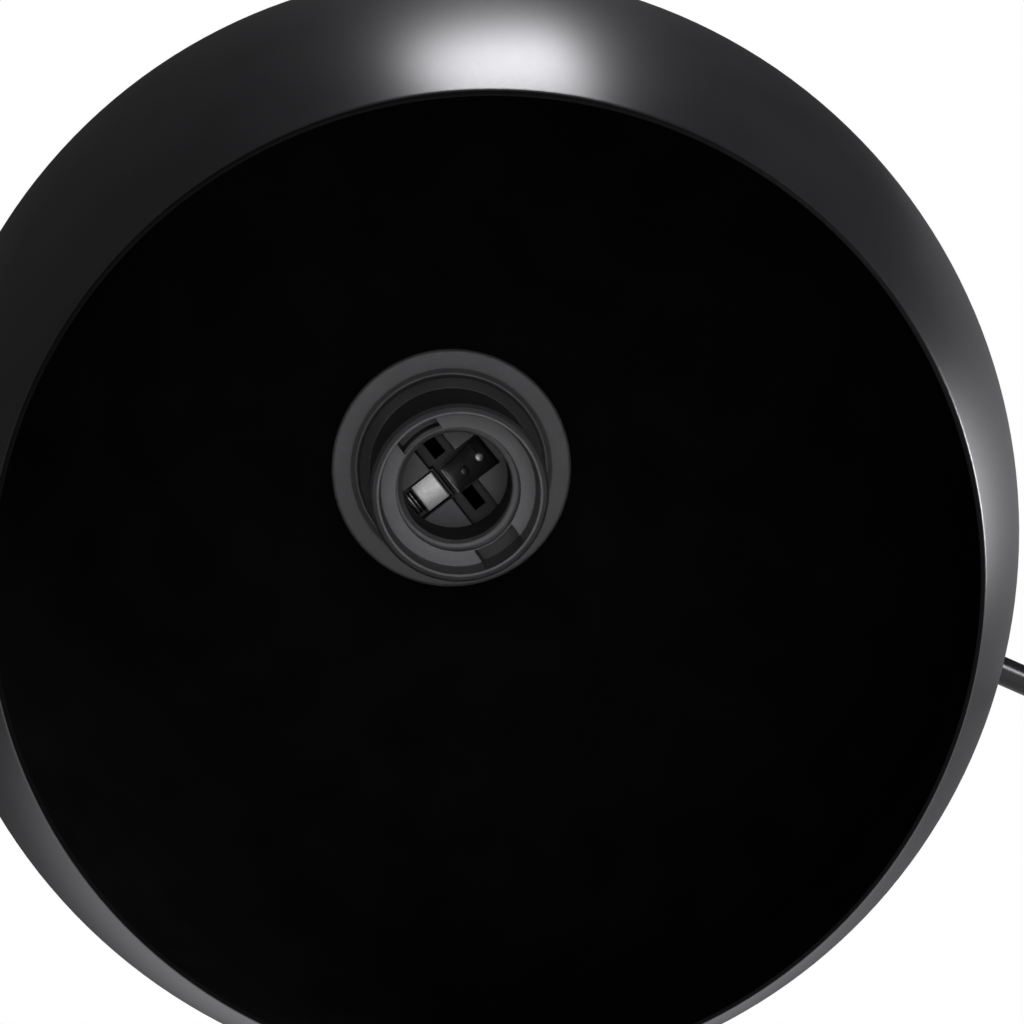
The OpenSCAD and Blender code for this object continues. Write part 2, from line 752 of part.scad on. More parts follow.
module knuckle_nut() color("#8c8c90") at_head() translate([0, -knuckle_w / 2, 0]) rotate([90, 0, 0])
  difference() {
    rotate_extrude() rounded(knuckle_screw_d * 1.2, knuckle_nut_h, knuckle_nut_edge_r);
    translate([0, 0, -cut]) cylinder(d = knuckle_screw_d + 2 * fit, h = knuckle_nut_h + 2 * cut);
  }

// Head

module nipple() color("#b08d4a") at_head() translate([0, 0, nipple_z])
  tube(nipple_d, nipple_d - 2 * nipple_wall, nipple_len);

module nipple_nut() color("#b08d4a") at_head() translate([0, 0, cup_z + cup_wall]) difference() {
  cylinder(d = 1.7 * nipple_d, h = nut_t, $fn = 6);
  translate([0, 0, -cut]) cylinder(d = nipple_d + 2 * fit, h = nut_t + 2 * cut);
}

module head_cup() color("#202022") at_head() difference() {
  translate([0, 0, flat_z]) rotate([180, 0, 0]) rotate_extrude() rounded(cup_d / 2, cup_len, cup_edge_r);
  translate([0, 0, flat_z + cut]) rotate([180, 0, 0])
    rotate_extrude() rounded(cup_bore_d / 2, cup_len - cup_wall + cut, cup_edge_r - cup_wall);
  translate([0, 0, cup_z - cut]) cylinder(d = nipple_d + 2 * fit, h = 2 * cut + cup_wall);
  translate([0, 0, switch_z]) along_y(switch_neck_d + 2 * fit, cup_d);
}

module switch_body() color("#2a2a2c") at_head() difference() {
  union() {
    intersection() {
      translate([0, switch_y, switch_z]) along_y(switch_body_d, cup_d);
      translate([0, 0, cup_z]) cylinder(d = cup_bore_d - 2 * fit, h = cup_len);
    }
    translate([0, switch_y + lap, switch_z]) along_y(switch_neck_d, switch_neck_y - switch_y - lap);
  }
  translate([0, switch_y + switch_floor, switch_z]) along_y(button_d + 2 * slide, cup_d);
}

module switch_nut() color("#202022") at_head() difference() {
  translate([0, cup_d / 4, switch_z]) along_y(switch_nut_d, cup_d / 4 + switch_nut_t);
  translate([0, 0, switch_z - cup_len / 2]) cylinder(d = cup_d + 2 * fit, h = cup_len);
  translate([0, 0, switch_z]) along_y(switch_neck_d + 2 * fit, cup_d);
}

module switch_button() color("#141415") at_head() translate([0, button_foot_y, switch_z])
  rotate([-90, 0, 0]) rotate_extrude() rounded(button_d / 2, button_top_y - button_foot_y, button_edge_r);

// Lampholder

module lampholder_cap() color("#2c2c2e") at_head() difference() {
  rotate_extrude() polygon([[0, cap_neck_z], [cap_neck_d / 2, cap_neck_z], [cap_neck_d / 2, cap_dome_z],
    [skirt_d / 2 - cap_step, cap_dome_z + cap_dome_h / 2], [skirt_d / 2, cap_dome_z + cap_dome_h],
    [skirt_d / 2, shoulder_z], [skirt_bore_d / 2 - fit, shoulder_z], [skirt_bore_d / 2 - fit, insert_z],
    [0, insert_z]]);
  rotate_extrude() polygon([[0, cap_dome_z + cap_wall], [cap_neck_d / 2 - cap_wall, cap_dome_z + cap_wall],
    [skirt_d / 2 - cap_step - cap_wall, cap_dome_z + cap_dome_h / 2 + cap_wall],
    [skirt_bore_d / 2 - cap_wall, cap_dome_z + cap_dome_h], [skirt_bore_d / 2 - cap_wall, insert_z + cut],
    [0, insert_z + cut]]);
  translate([0, 0, cap_neck_z - cut]) cylinder(d = nipple_d + 2 * fit, h = cup_len / 2);
}

module lampholder_insert() color("#323234") at_contacts() difference() {
  union() {
    translate([0, 0, insert_z]) cylinder(d = skirt_bore_d - 2 * fit, h = floor_z - insert_z);
    translate([0, 0, boss_z]) cylinder(r = boss_r, h = insert_z - boss_z + cut);
  }
  // Channel for the contacts, with a rib across it
  translate([-channel_end, -channel_w / 2, channel_z])
    cube([channel_end - rib_x - rib_t / 2, channel_w, channel_depth + cut]);
  translate([rib_t / 2 - rib_x, -channel_w / 2, channel_z])
    cube([channel_end + rib_x - rib_t / 2, channel_w, channel_depth + cut]);
  // Arms of the cross, each with a blind hole
  for (s = [90, 270]) rotate([0, 0, s]) {
    translate([channel_w / 2 - lap, -cross_w / 2, channel_z])
      cube([cross_end - channel_w / 2 + lap, cross_w, channel_depth + cut]);
    translate([hole_near, -hole_w / 2, channel_z - hole_depth])
      cube([hole_len, hole_w, hole_depth + cut]);
  }
  // Slots for the legs of the two contacts
  for (s = [0, 180]) rotate([0, 0, s])
    translate([boss_r, -terminal_w / 2 - fit, insert_z - cut])
      cube([terminal_t + 2 * fit, terminal_w + 2 * fit, floor_z - insert_z + 2 * cut]);
  for (s = [0, 180]) rotate([0, 0, s])
    translate([0, 0, terminal_z]) along_x(terminal_screw_d + 2 * fit, boss_r + cut);
}

// Leg of a contact, through the floor and down beside the boss
module contact_leg(top) difference() {
  translate([terminal_r, -terminal_w / 2, boss_z + leg_gap])
    cube([terminal_t, terminal_w, top - boss_z - leg_gap]);
  translate([0, 0, terminal_z]) along_x(terminal_screw_d + 2 * fit, skirt_d);
}

module centre_terminal() color("#1c1c1e") at_contacts() {
  contact_leg(channel_z + terminal_t);
  translate([leaf_root - leaf_bend_d, -strip_w / 2, channel_z])
    cube([terminal_r + terminal_t - leaf_root + leaf_bend_d, strip_w, terminal_t]);
}

module centre_contact() color("#1c1c1e") at_contacts() translate([leaf_root, 0, leaf_z])
  rotate([0, leaf_slope, 0]) {
    translate([-leaf_len - leaf_tip, -strip_w / 2, 0]) cube([leaf_len + leaf_tip, strip_w, leaf_t]);
    translate([-leaf_len, 0, 0]) cylinder(d = bump_d, h = leaf_t + bump_h);
    across_y(leaf_bend_d, strip_w);
  }

module side_contact() color("#c9cace") at_contacts() rotate([0, 0, 180]) {
  contact_leg(floor_z - tab_drop);
  translate([terminal_r + terminal_t, 0, floor_z - tab_drop]) rotate([0, tab_slope, 0])
    translate([-tab_len, -tab_w / 2, -terminal_t]) cube([tab_len, tab_w, terminal_t]);
}

module terminal_screws() color("#c9a85a") at_contacts() for (s = [0, 180]) rotate([0, 0, s])
  translate([0, 0, terminal_z]) {
    translate([boss_r - terminal_screw_in, 0, 0])
      along_x(terminal_screw_d, terminal_screw_in + terminal_t + 2 * lap);
    translate([terminal_r + terminal_t, 0, 0]) along_x(terminal_head_d, terminal_head_h);
  }

module lampholder_skirt() color("#2e2e30") at_head() {
  difference() {
    union() {
      rotate_extrude() polygon([[skirt_bore_d / 2, shoulder_z], [skirt_d / 2, shoulder_z],
        [skirt_d / 2, skirt_mouth_z - skirt_bevel_h], [skirt_d / 2 - skirt_bevel, skirt_mouth_z],
        [skirt_bore_d / 2, skirt_mouth_z]]);
      translate([0, 0, shoulder_z]) tube(cup_bore_d - 2 * fit, skirt_d - 2 * lap, shoulder_t);
      translate([0, 0, face_z - skirt_face_t]) tube(skirt_d - 2 * lap, bulb_bore_d, skirt_face_t);
      translate([0, 0, floor_z]) tube(bulb_bore_d + 2 * sleeve_wall, bulb_bore_d, face_z - floor_z);
    }
    // The two slots in the face
    rotate([0, 0, contact_turn - slot_turn]) intersection() {
      translate([0, 0, face_z - slot_depth])
        tube(skirt_bore_d - 2 * slot_out, bulb_bore_d + 2 * slot_in, slot_depth + cut);
      translate([-skirt_d, -slot_w / 2, face_z - slot_depth - cut])
        cube([2 * skirt_d, slot_w, slot_depth + 3 * cut]);
    }
  }
  // Ridges of the bulb's thread
  for (i = [0:3]) translate([0, 0, face_z - thread_lead - thread_pitch * (i + 0.5)]) rotate_extrude()
    polygon([[bulb_bore_d / 2 + lap, -thread_root], [bulb_bore_d / 2 - thread_rise, -thread_crest],
      [bulb_bore_d / 2 - thread_rise, thread_crest], [bulb_bore_d / 2 + lap, thread_root]]);
}

module shade_ring() color("#2e2e30") at_head() difference() {
  union() {
    translate([0, 0, seat_z]) rotate_extrude() rounded(ring_d / 2, ring_t, ring_edge_r);
    translate([0, 0, seat_z]) cylinder(d = ring_hub_d, h = ring_t + ring_hub_h);
  }
  translate([0, 0, seat_z - cut]) cylinder(d = skirt_d + 2 * fit, h = ring_t + ring_hub_h + 2 * cut);
}

// Shade

module shade_arc(r) difference() {
  circle(r = r);
  circle(r = r - shade_wall);
}

module shade() color("#1a1a1b") at_head() translate([0, 0, centre_z]) rotate_extrude() {
  intersection() {
    translate([back_x, 0]) shade_arc(shade_back_h);
    translate([back_x, -shade_back_h]) square(shade_back_h);
  }
  translate([shade_hole_d / 2, -shade_back_h]) square([back_x - shade_hole_d / 2, shade_wall]);
  intersection() {
    translate([front_x, 0]) shade_arc(front_r);
    square([shade_d, shade_front_h]);
  }
}

base_cover();
base_weight();
bottom_plate();
plate_screws();
base_pad();
cord_inlet();
pole_socket();
pole_bolt();
pole_washer();
pole_tube();
clamp_collar();
guide_bush();
clamp_pad();
grub_screws();
height_knob();
mast_tube();
mast_guide();
swivel_bush();
yoke();
yoke_clip();
elbow_bolt();
elbow_washers();
elbow_knob();
arm_tongue();
arm_tube();
arm_ferrule();
arm_grub_screws();
knuckle_tongue();
swivel_clip();
knuckle_fork();
knuckle_screw();
knuckle_nut();
nipple();
nipple_nut();
head_cup();
switch_body();
switch_nut();
switch_button();
lampholder_cap();
lampholder_insert();
centre_terminal();
centre_contact();
side_contact();
terminal_screws();
lampholder_skirt();
shade_ring();
shade();
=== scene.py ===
"""Studio scene of the floor reading lamp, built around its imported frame."""
import json
import math

import bmesh
import bpy
from mathutils import Matrix, Quaternion, Vector


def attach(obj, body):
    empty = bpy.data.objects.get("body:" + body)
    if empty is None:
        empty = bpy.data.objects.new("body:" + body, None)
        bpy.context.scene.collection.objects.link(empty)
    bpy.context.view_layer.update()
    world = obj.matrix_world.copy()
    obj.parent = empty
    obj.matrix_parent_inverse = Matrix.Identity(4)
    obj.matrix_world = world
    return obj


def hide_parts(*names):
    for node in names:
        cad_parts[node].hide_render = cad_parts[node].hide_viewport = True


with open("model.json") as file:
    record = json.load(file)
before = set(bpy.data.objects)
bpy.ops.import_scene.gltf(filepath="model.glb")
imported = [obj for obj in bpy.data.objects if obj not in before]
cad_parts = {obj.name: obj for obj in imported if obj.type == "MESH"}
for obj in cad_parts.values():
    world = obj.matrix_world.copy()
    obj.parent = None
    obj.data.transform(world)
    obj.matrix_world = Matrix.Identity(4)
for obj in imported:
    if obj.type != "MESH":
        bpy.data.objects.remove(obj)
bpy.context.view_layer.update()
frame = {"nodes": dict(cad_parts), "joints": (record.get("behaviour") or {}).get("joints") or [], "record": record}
scene = bpy.context.scene
MM = 0.001

# Places that the pieces are built in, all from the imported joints

joints = {j["name"]: j for j in frame["joints"]}


def placed(x, y, z, origin):
    """Matrix of a place with these axes; sizes in it are in millimetres."""
    m = Matrix((x, y, z)).transposed().to_4x4()
    m.translation = origin
    return m @ Matrix.Scale(MM, 4)


arm_dir = Vector(joints["head_turn"]["axis"]).normalized()
head_up = Vector(joints["head_tilt"]["axis"]).normalized()
shade_dir = arm_dir.cross(head_up)
tilt_point = Vector(joints["head_tilt"]["pos_m"])
HEAD = placed(arm_dir, head_up, shade_dir, tilt_point)
elbow_point = Vector(joints["elbow"]["pos_m"])
STAND = Matrix.Scale(MM, 4)
flex_dir = -Vector(joints["contact_flex"]["axis"]).normalized()
CONTACTS = placed(flex_dir.cross(shade_dir), flex_dir, shade_dir, tilt_point)

body_of = {n: b for b, names in frame["record"]["behaviour"]["bodies"].items() for n in names}
slot_of = {row["node"]: row["material_slot"] for row in frame["record"]["subparts"]}

# Sizes of the head along the shade axis, in millimetres from the tilt pivot;
# the shade is a hair narrower than its solid, so that it stays inside the solid's box

SHADE_R = 111.72
SHADE_WALL = 1.2
LIP_WALL = 0.7
MOUTH_R = 86.8
FRONT_H = 99.4
BACK_H = 71.6
FLAT_Z = 92.0
HOLE_R = 20.1
CENTRE_Z = FLAT_Z + BACK_H
FRONT_R = ((SHADE_R - MOUTH_R) ** 2 + FRONT_H ** 2) / (2 * (SHADE_R - MOUTH_R))
SEAT_Z = FLAT_Z + SHADE_WALL
RING_R = 28.5
RING_Z = SEAT_Z + 2.5
HUB_R = 22.0
SHOULDER_Z = 90.0
SHOULDER_R = 23.7
SKIRT_R = 20.0
SKIRT_FOOT_R = 19.4
SKIRT_BORE = 18.5
RIM_Z = RING_Z + 43.0
RIM_R = 18.45
RIM_BORE = 17.85
BEVEL_H = 2.8
FACE_Z = RIM_Z - 8.0
FACE_R = 17.5
FACE_T = 11.0
WINDOW_DEEP = 9.0
MOUTH_EDGE_R = 14.0
MOUTH_EDGE_T = 0.8
THREAD_R = 12.88
THREAD_DEPTH = 0.43
THREAD_PITCH = 3.62
BULB_TOP_Z = RIM_Z - 12.0
LINER_R = 14.6
SLEEVE_BORE = 14.7
SLEEVE_R = 15.4
FLOOR_Z = RIM_Z - 33.0
CHANNEL_Z = FLOOR_Z - 4.0
INSERT_Z = 95.0
INSERT_R = 18.4
BOSS_R = 11.0
BOSS_Z = 76.0

# Mesh helpers

CORNER_SHARE = 0.45
STRAIGHT = 0.02
ON_AXIS = 1e-6
WELD_REACH = 1e-6
FLAT_ANGLE = 0.3
CAST_ANGLE = 32
CARVED_ANGLE = 50


def rounded(points, steps=5):
    """Closed outline from (x, y, corner radius) points, with its corners rounded."""
    out = []
    for i, (x, y, radius) in enumerate(points):
        p = Vector((x, y))
        a = Vector(points[i - 1][:2]) - p
        b = Vector(points[(i + 1) % len(points)][:2]) - p
        reach = CORNER_SHARE * min(a.length, b.length)
        a.normalize()
        b.normalize()
        half = a.angle(b) / 2
        if radius <= 0 or half > math.pi / 2 - STRAIGHT:
            out.append((x, y))
            continue
        run = min(radius / math.tan(half), reach)
        r = run * math.tan(half)
        centre = p + (a + b).normalized() * (r / math.sin(half))
        start, end = p + a * run - centre, p + b * run - centre
        from_angle = math.atan2(start.y, start.x)
        sweep = (math.atan2(end.y, end.x) - from_angle + math.pi) % (2 * math.pi) - math.pi
        for k in range(steps + 1):
            t = from_angle + sweep * k / steps
            out.append((centre.x + r * math.cos(t), centre.y + r * math.sin(t)))
    return out


def ringed(rings, marks=None):
    """Mesh whose skin joins each ring of points to the next, and the last to the first."""
    bm = bmesh.new()
    turns = max(len(ring) for ring in rings)
    made = [[bm.verts.new(p) for p in ring] for ring in rings]
    made = [ring if len(ring) > 1 else ring * turns for ring in made]
    for i, low in enumerate(made):
        high = made[(i + 1) % len(made)]
        for k in range(turns):
            n = (k + 1) % turns
            corners = list(dict.fromkeys([low[k], low[n], high[n], high[k]]))
            if len(corners) > 2:
                bm.faces.new(corners).material_index = marks[i] if marks else 0
    return bm


def ring(radius, z, turns, shape=None):
    """Points of one ring; shape(angle) is taken off the radius."""
    if radius < ON_AXIS:
        return [(0, 0, z)]
    out = []
    for k in range(turns):
        t = 2 * math.pi * k / turns
        r = radius - (shape(t) if shape else 0.0)
        out.append((r * math.cos(t), r * math.sin(t), z))
    return out


def lathe(section, turns=128, marks=None):
    """Closed section of (radius, height) points turned about the axis."""
    return ringed([ring(r, z, turns) for r, z in section], marks)


def prism(outline, low, high):
    """Flat outline of (x, y) points raised from one height to another."""
    bm = bmesh.new()
    bottom = [bm.verts.new((x, y, low)) for x, y in outline]
    top = [bm.verts.new((x, y, high)) for x, y in outline]
    bm.faces.new(bottom[::-1])
    bm.faces.new(top)
    for k in range(len(outline)):
        n = (k + 1) % len(outline)
        bm.faces.new((bottom[k], bottom[n], top[n], top[k]))
    return bm


def box(x0, x1, y0, y1, low, high):
    """Upright block between these limits."""
    return prism([(x0, y0), (x1, y0), (x1, y1), (x0, y1)], low, high)


def sweep(sections):
    """Loops of 3-D points joined one to the next, with both ends closed."""
    bm = bmesh.new()
    loops = [[bm.verts.new(p) for p in loop] for loop in sections]
    n = len(loops[0])
    for a, b in zip(loops, loops[1:]):
        for k in range(n):
            bm.faces.new((a[k], a[(k + 1) % n], b[(k + 1) % n], b[k]))
    bm.faces.new(loops[0][::-1])
    bm.faces.new(loops[-1])
    return bm


def to_object(name, bm, place):
    """New object in the scene from a mesh, moved to its place."""
    bmesh.ops.recalc_face_normals(bm, faces=bm.faces)
    mesh = bpy.data.meshes.new(name)
    bm.to_mesh(mesh)
    bm.free()
    mesh.transform(place)
    obj = bpy.data.objects.new(name, mesh)
    scene.collection.objects.link(obj)
    return obj


def carve(obj, cutters, place):
    """Takes the cutters out of the piece and keeps the result as its mesh."""
    made = [to_object("cutter", bm, place) for bm in cutters]
    for cutter in made:
        mod = obj.modifiers.new("carve", "BOOLEAN")
        mod.operation = "DIFFERENCE"
        mod.solver = "EXACT"
        mod.object = cutter
    bpy.context.view_layer.update()
    deps = bpy.context.evaluated_depsgraph_get()
    mesh = bpy.data.meshes.new_from_object(obj.evaluated_get(deps))
    obj.modifiers.clear()
    obj.data = mesh
    for cutter in made:
        bpy.data.objects.remove(cutter)


def edges(obj, width, angle, segments=2):
    """Small rounding of the sharp edges, in millimetres."""
    mod = obj.modifiers.new("edges", "BEVEL")
    mod.width = width * MM
    mod.segments = segments
    mod.limit_method = "ANGLE"
    mod.angle_limit = math.radians(angle)
    mod.use_clamp_overlap = False


def piece(name, bm, place, like, mats, cuts=(), edge=0.0, angle=35, stands_for=True):
    """Finished piece on the body of the first node in like, which it stands for."""
    obj = to_object(name, bm, place)
    if cuts:
        carve(obj, cuts, place)
    if edge:
        edges(obj, edge, CARVED_ANGLE)
    for mat in mats:
        obj.data.materials.append(mat)
    obj.data.shade_smooth()
    obj.data.set_sharp_from_angle(angle=math.radians(angle))
    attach(obj, body_of[like[0]])
    if stands_for:
        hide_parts(*like)
    return obj


def join(bm, other, move, index):
    """Adds another mesh, moved, with its own material."""
    bmesh.ops.transform(other, verts=other.verts, matrix=move)
    for face in other.faces:
        face.material_index = index
    mesh = bpy.data.meshes.new("joined")
    other.to_mesh(mesh)
    other.free()
    bm.from_mesh(mesh)
    bpy.data.meshes.remove(mesh)


def dome(radius, high):
    """Low round rivet head with a short foot below it."""
    steps, foot, turns = 7, -0.3, 28
    arc = [math.pi / 2 * k / steps for k in range(steps)]
    section = [(radius * math.cos(a), high * math.sin(a)) for a in arc]
    return lathe(section + [(0, high), (0, foot), (radius, foot)], turns)


def hole(radius, at, along, low, high, turns=40):
    """Round cutter along one of the axes, through a point."""
    around = [2 * math.pi * k / turns for k in range(turns)]
    bm = prism([(radius * math.cos(t), radius * math.sin(t)) for t in around], low, high)
    if along == "Y":
        bmesh.ops.rotate(bm, verts=bm.verts, matrix=Matrix.Rotation(-math.pi / 2, 3, "X"))
    elif along == "X":
        bmesh.ops.rotate(bm, verts=bm.verts, matrix=Matrix.Rotation(math.pi / 2, 3, "Y"))
    bmesh.ops.translate(bm, verts=bm.verts, vec=at)
    return bm


def soften(node, width):
    """Rounds the sharp edges of a carried-over solid."""
    weld = node.modifiers.new("weld", "WELD")
    weld.merge_threshold = WELD_REACH
    flat = node.modifiers.new("flat", "DECIMATE")
    flat.decimate_type = "DISSOLVE"
    flat.angle_limit = math.radians(FLAT_ANGLE)
    edges(node, width, CAST_ANGLE)
    node.modifiers["edges"].harden_normals = True


# Materials

NOISE_LOW = 0.35
NOISE_HIGH = 0.65


def shader(name):
    """New material, its node tree and its shader."""
    mat = bpy.data.materials.new(name)
    mat.use_nodes = True
    tree = mat.node_tree
    return mat, tree, tree.nodes["Principled BSDF"]


def add(tree, kind, **values):
    """New node; in_Name sets a socket and any other name a setting."""
    node = tree.nodes.new(kind)
    for key, value in values.items():
        if key.startswith("in_"):
            node.inputs[key[3:].replace("_", " ")].default_value = value
        else:
            setattr(node, key, value)
    return node


def grain(tree, scale, detail=2.0, rough=0.5):
    """Noise in the piece's own place, with cells of about a metre over scale."""
    coord = add(tree, "ShaderNodeTexCoord")
    noise = add(tree, "ShaderNodeTexNoise", in_Scale=scale, in_Detail=detail, in_Roughness=rough)
    tree.links.new(coord.outputs["Object"], noise.inputs["Vector"])
    return noise.outputs["Fac"]


def spread(tree, value, low, high, start=NOISE_LOW, end=NOISE_HIGH):
    """Value between low and high, as the given value goes from start to end."""
    node = add(tree, "ShaderNodeMapRange", in_From_Min=start, in_From_Max=end,
               in_To_Min=low, in_To_Max=high)
    tree.links.new(value, node.inputs["Value"])
    return node.outputs["Result"]


def between(tree, value, one, two):
    """Colour between two others, by a noise value."""
    ramp = add(tree, "ShaderNodeValToRGB")
    ramp.color_ramp.elements[0].position = NOISE_LOW
    ramp.color_ramp.elements[0].color = (*one, 1)
    ramp.color_ramp.elements[1].position = NOISE_HIGH
    ramp.color_ramp.elements[1].color = (*two, 1)
    tree.links.new(value, ramp.inputs["Fac"])
    return ramp.outputs["Color"]


def relief(tree, bsdf, value, height, strength):
    """Fine bumps from a noise value; height is in metres."""
    bump = add(tree, "ShaderNodeBump", in_Strength=strength, in_Distance=height)
    tree.links.new(value, bump.inputs["Height"])
    tree.links.new(bump.outputs["Normal"], bsdf.inputs["Normal"])


def surface(name, dark, light, rough, peel, metallic=0.0, specular=0.5, patch=60.0, worn=None):
    """Two close colours in patches, uneven gloss and a fine relief.

    peel is (scale, height, strength); worn is (colour, start, end) of rubbed edges.
    """
    mat, tree, bsdf = shader(name)
    broad = grain(tree, patch, 3.0)
    fine = grain(tree, peel[0], 2.0, 0.55)
    colour = between(tree, broad, dark, light)
    if worn:
        geo = add(tree, "ShaderNodeNewGeometry")
        edge = spread(tree, geo.outputs["Pointiness"], 0.0, 1.0, worn[1], worn[2])
        mix = add(tree, "ShaderNodeMix", data_type="RGBA")
        mix.inputs["B"].default_value = (*worn[0], 1)
        tree.links.new(edge, mix.inputs["Factor"])
        tree.links.new(colour, mix.inputs["A"])
        colour = mix.outputs["Result"]
    tree.links.new(colour, bsdf.inputs["Base Color"])
    tree.links.new(spread(tree, fine, rough[0], rough[1]), bsdf.inputs["Roughness"])
    relief(tree, bsdf, fine, peel[1], peel[2])
    bsdf.inputs["Metallic"].default_value = metallic
    bsdf.inputs["Specular IOR Level"].default_value = specular
    return mat


shade_coat = surface("satin_black_shade", (0.0052, 0.0051, 0.0057), (0.0068, 0.0067, 0.0074), (0.296, 0.314),
                     (1500.0, 0.0004, 0.012))
coat = surface("satin_black_coat", (0.0066, 0.0066, 0.007), (0.0095, 0.0095, 0.01), (0.28, 0.38),
               (1500.0, 0.0004, 0.06), worn=((0.03, 0.03, 0.031), 0.57, 0.68))
tube_coat = surface("gloss_black_tube", (0.0042, 0.0042, 0.0045), (0.0058, 0.0058, 0.0061), (0.25, 0.31),
                    (1300.0, 0.0003, 0.02), specular=0.3)
# painted shade: the inward part of the shade's lip is darker and nearly unreflective, so it stays unlit
lip_painted_shade = surface("black_lip_painted_shade", (0.001, 0.001, 0.0011), (0.0016, 0.0016, 0.0017), (0.5, 0.6),
                   (1500.0, 0.0003, 0.05), specular=0.03)
# real matt black paint inside the shade, also used as painted shade in the insert's pits and wall
inside = surface("matt_black_inside_and_painted_shade", (0.003, 0.003, 0.003), (0.0042, 0.0042, 0.0042), (0.85, 0.95),
                 (2200.0, 0.0003, 0.2), specular=0.0)
holder = surface("moulded_grey_plastic", (0.072, 0.072, 0.074), (0.084, 0.084, 0.086), (0.42, 0.56),
                 (2600.0, 0.0002, 0.18), patch=110.0)
# the same grey plastic, darker: painted shade on the skirt's outer wall, the ring's hub and the insert's floor
holder_shaded_grey = surface("moulded_grey_plastic_painted_shade", (0.045, 0.045, 0.047), (0.055, 0.055, 0.057), (0.45, 0.6),
                       (2600.0, 0.0002, 0.18), patch=110.0)
holder_base = surface("moulded_black_base", (0.0075, 0.0075, 0.008), (0.011, 0.011, 0.0115), (0.55, 0.7),
                      (2600.0, 0.0002, 0.2), patch=110.0)
knob_mat = surface("moulded_black_plastic", (0.012, 0.012, 0.0125), (0.017, 0.017, 0.0175), (0.42, 0.58),
                   (2400.0, 0.0002, 0.3), worn=((0.04, 0.04, 0.041), 0.56, 0.66))
# real black nylon, also used as painted shade deep in the skirt's windows
nylon_black = surface("black_nylon_and_painted_shade", (0.016, 0.016, 0.017), (0.022, 0.022, 0.023), (0.38, 0.5),
                      (1800.0, 0.0002, 0.15))
nylon_white = surface("natural_nylon", (0.62, 0.59, 0.52), (0.7, 0.67, 0.6), (0.35, 0.5),
                      (1500.0, 0.0002, 0.15))
rubber = surface("foam_rubber", (0.012, 0.012, 0.012), (0.02, 0.02, 0.02), (0.8, 0.95), (1400.0, 0.0006, 0.5),
                 specular=0.2)
iron = surface("raw_casting", (0.035, 0.034, 0.033), (0.06, 0.058, 0.056), (0.55, 0.8), (700.0, 0.0008, 0.5),
               metallic=0.7)
zinc = surface("zinc_plate", (0.40, 0.40, 0.41), (0.5, 0.5, 0.5), (0.24, 0.4), (900.0, 0.0002, 0.12),
               metallic=1.0)
brass = surface("turned_brass", (0.5, 0.34, 0.13), (0.62, 0.43, 0.18), (0.2, 0.34), (900.0, 0.0002, 0.1),
                metallic=1.0)
dark_strip = surface("blackened_spring", (0.005, 0.005, 0.0055), (0.008, 0.008, 0.0085), (0.35, 0.45),
                     (900.0, 0.0002, 0.1))
nickel = surface("nickel_plate", (0.63, 0.63, 0.62), (0.69, 0.69, 0.68), (0.56, 0.66), (1600.0, 0.0002, 0.08),
                 metallic=1.0)
# darker nickel: painted shade on the side contact's folds
nickel_painted_shade = surface("nickel_fold_painted_shade", (0.10, 0.10, 0.10), (0.3, 0.3, 0.295), (0.3, 0.45),
                      (1600.0, 0.0002, 0.3), metallic=1.0, patch=900.0)
fibre = surface("vulcanised_fibre", (0.11, 0.045, 0.022), (0.17, 0.075, 0.038), (0.5, 0.7),
                (1600.0, 0.0004, 0.35))

FINISH = {
    "black_coat": coat, "shade_black": shade_coat, "holder_plastic": holder, "knob_plastic": knob_mat,
    "nylon_black": nylon_black, "nylon_white": nylon_white, "pad_rubber": rubber, "weight_iron": iron,
    "plated_steel": zinc, "brass": brass, "contact_dark": dark_strip, "contact_silver": nickel,
    "fibre": fibre}

# Carried-over solids: finish, and softly broken edges where castings show

CAST_EDGE = 0.6

for name, node in frame["nodes"].items():
    node.data.materials.clear()
    node.data.materials.append(FINISH[slot_of[name]])
    for poly in node.data.polygons:
        poly.material_index = 0
for name in ("arm_tube", "pole_tube", "mast_tube"):
    frame["nodes"][name].data.materials[0] = tube_coat
for name in ("yoke", "arm_tongue", "knuckle_tongue", "knuckle_fork"):
    soften(frame["nodes"][name], CAST_EDGE)

# Stand: socket casting, clamp collar, cord inlet and the two knobs

BASE_TOP = 24.0
POLE_BORE = 9.1
CASTING_R = 14
GRUB_R = 2.1
CUT_FROM = 5
CUT_TO = 20
SOCKET_BOLT_R = 4.1
SOCKET_FOOT_R = 27
SOCKET_FOOT_Z = BASE_TOP + 5
SOCKET_FLOOR_Z = BASE_TOP + 9
SOCKET_GRUB_Z = BASE_TOP + 30.8
SOCKET_TOP_Z = BASE_TOP + 44
COLLAR_LOW = 629
COLLAR_HIGH = 675
COLLAR_GRUB_Z = 641
CLAMP_Z = 664
CLAMP_BORE = 3.1
CLAMP_HOLE_R = 3.05
CLAMP_BOSS_R = 7
CLAMP_BOSS_FROM = 11
CLAMP_BOSS_END = 20
CLAMP_BOSS_TURNS = 96

socket_section = rounded([
    (SOCKET_BOLT_R, BASE_TOP, 0.2), (SOCKET_FOOT_R, BASE_TOP, 0.3), (SOCKET_FOOT_R, SOCKET_FOOT_Z, 2.0),
    (CASTING_R, SOCKET_FOOT_Z, 2.6), (CASTING_R, SOCKET_TOP_Z, 1.6), (POLE_BORE, SOCKET_TOP_Z, 0.5),
    (POLE_BORE, SOCKET_FLOOR_Z, 0.2), (SOCKET_BOLT_R, SOCKET_FLOOR_Z, 0.2)], steps=8)
piece("socket_casting", lathe(socket_section), STAND, ["pole_socket"], [coat],
      cuts=[hole(GRUB_R, (0, 0, SOCKET_GRUB_Z), "Y", CUT_FROM, CUT_TO)])

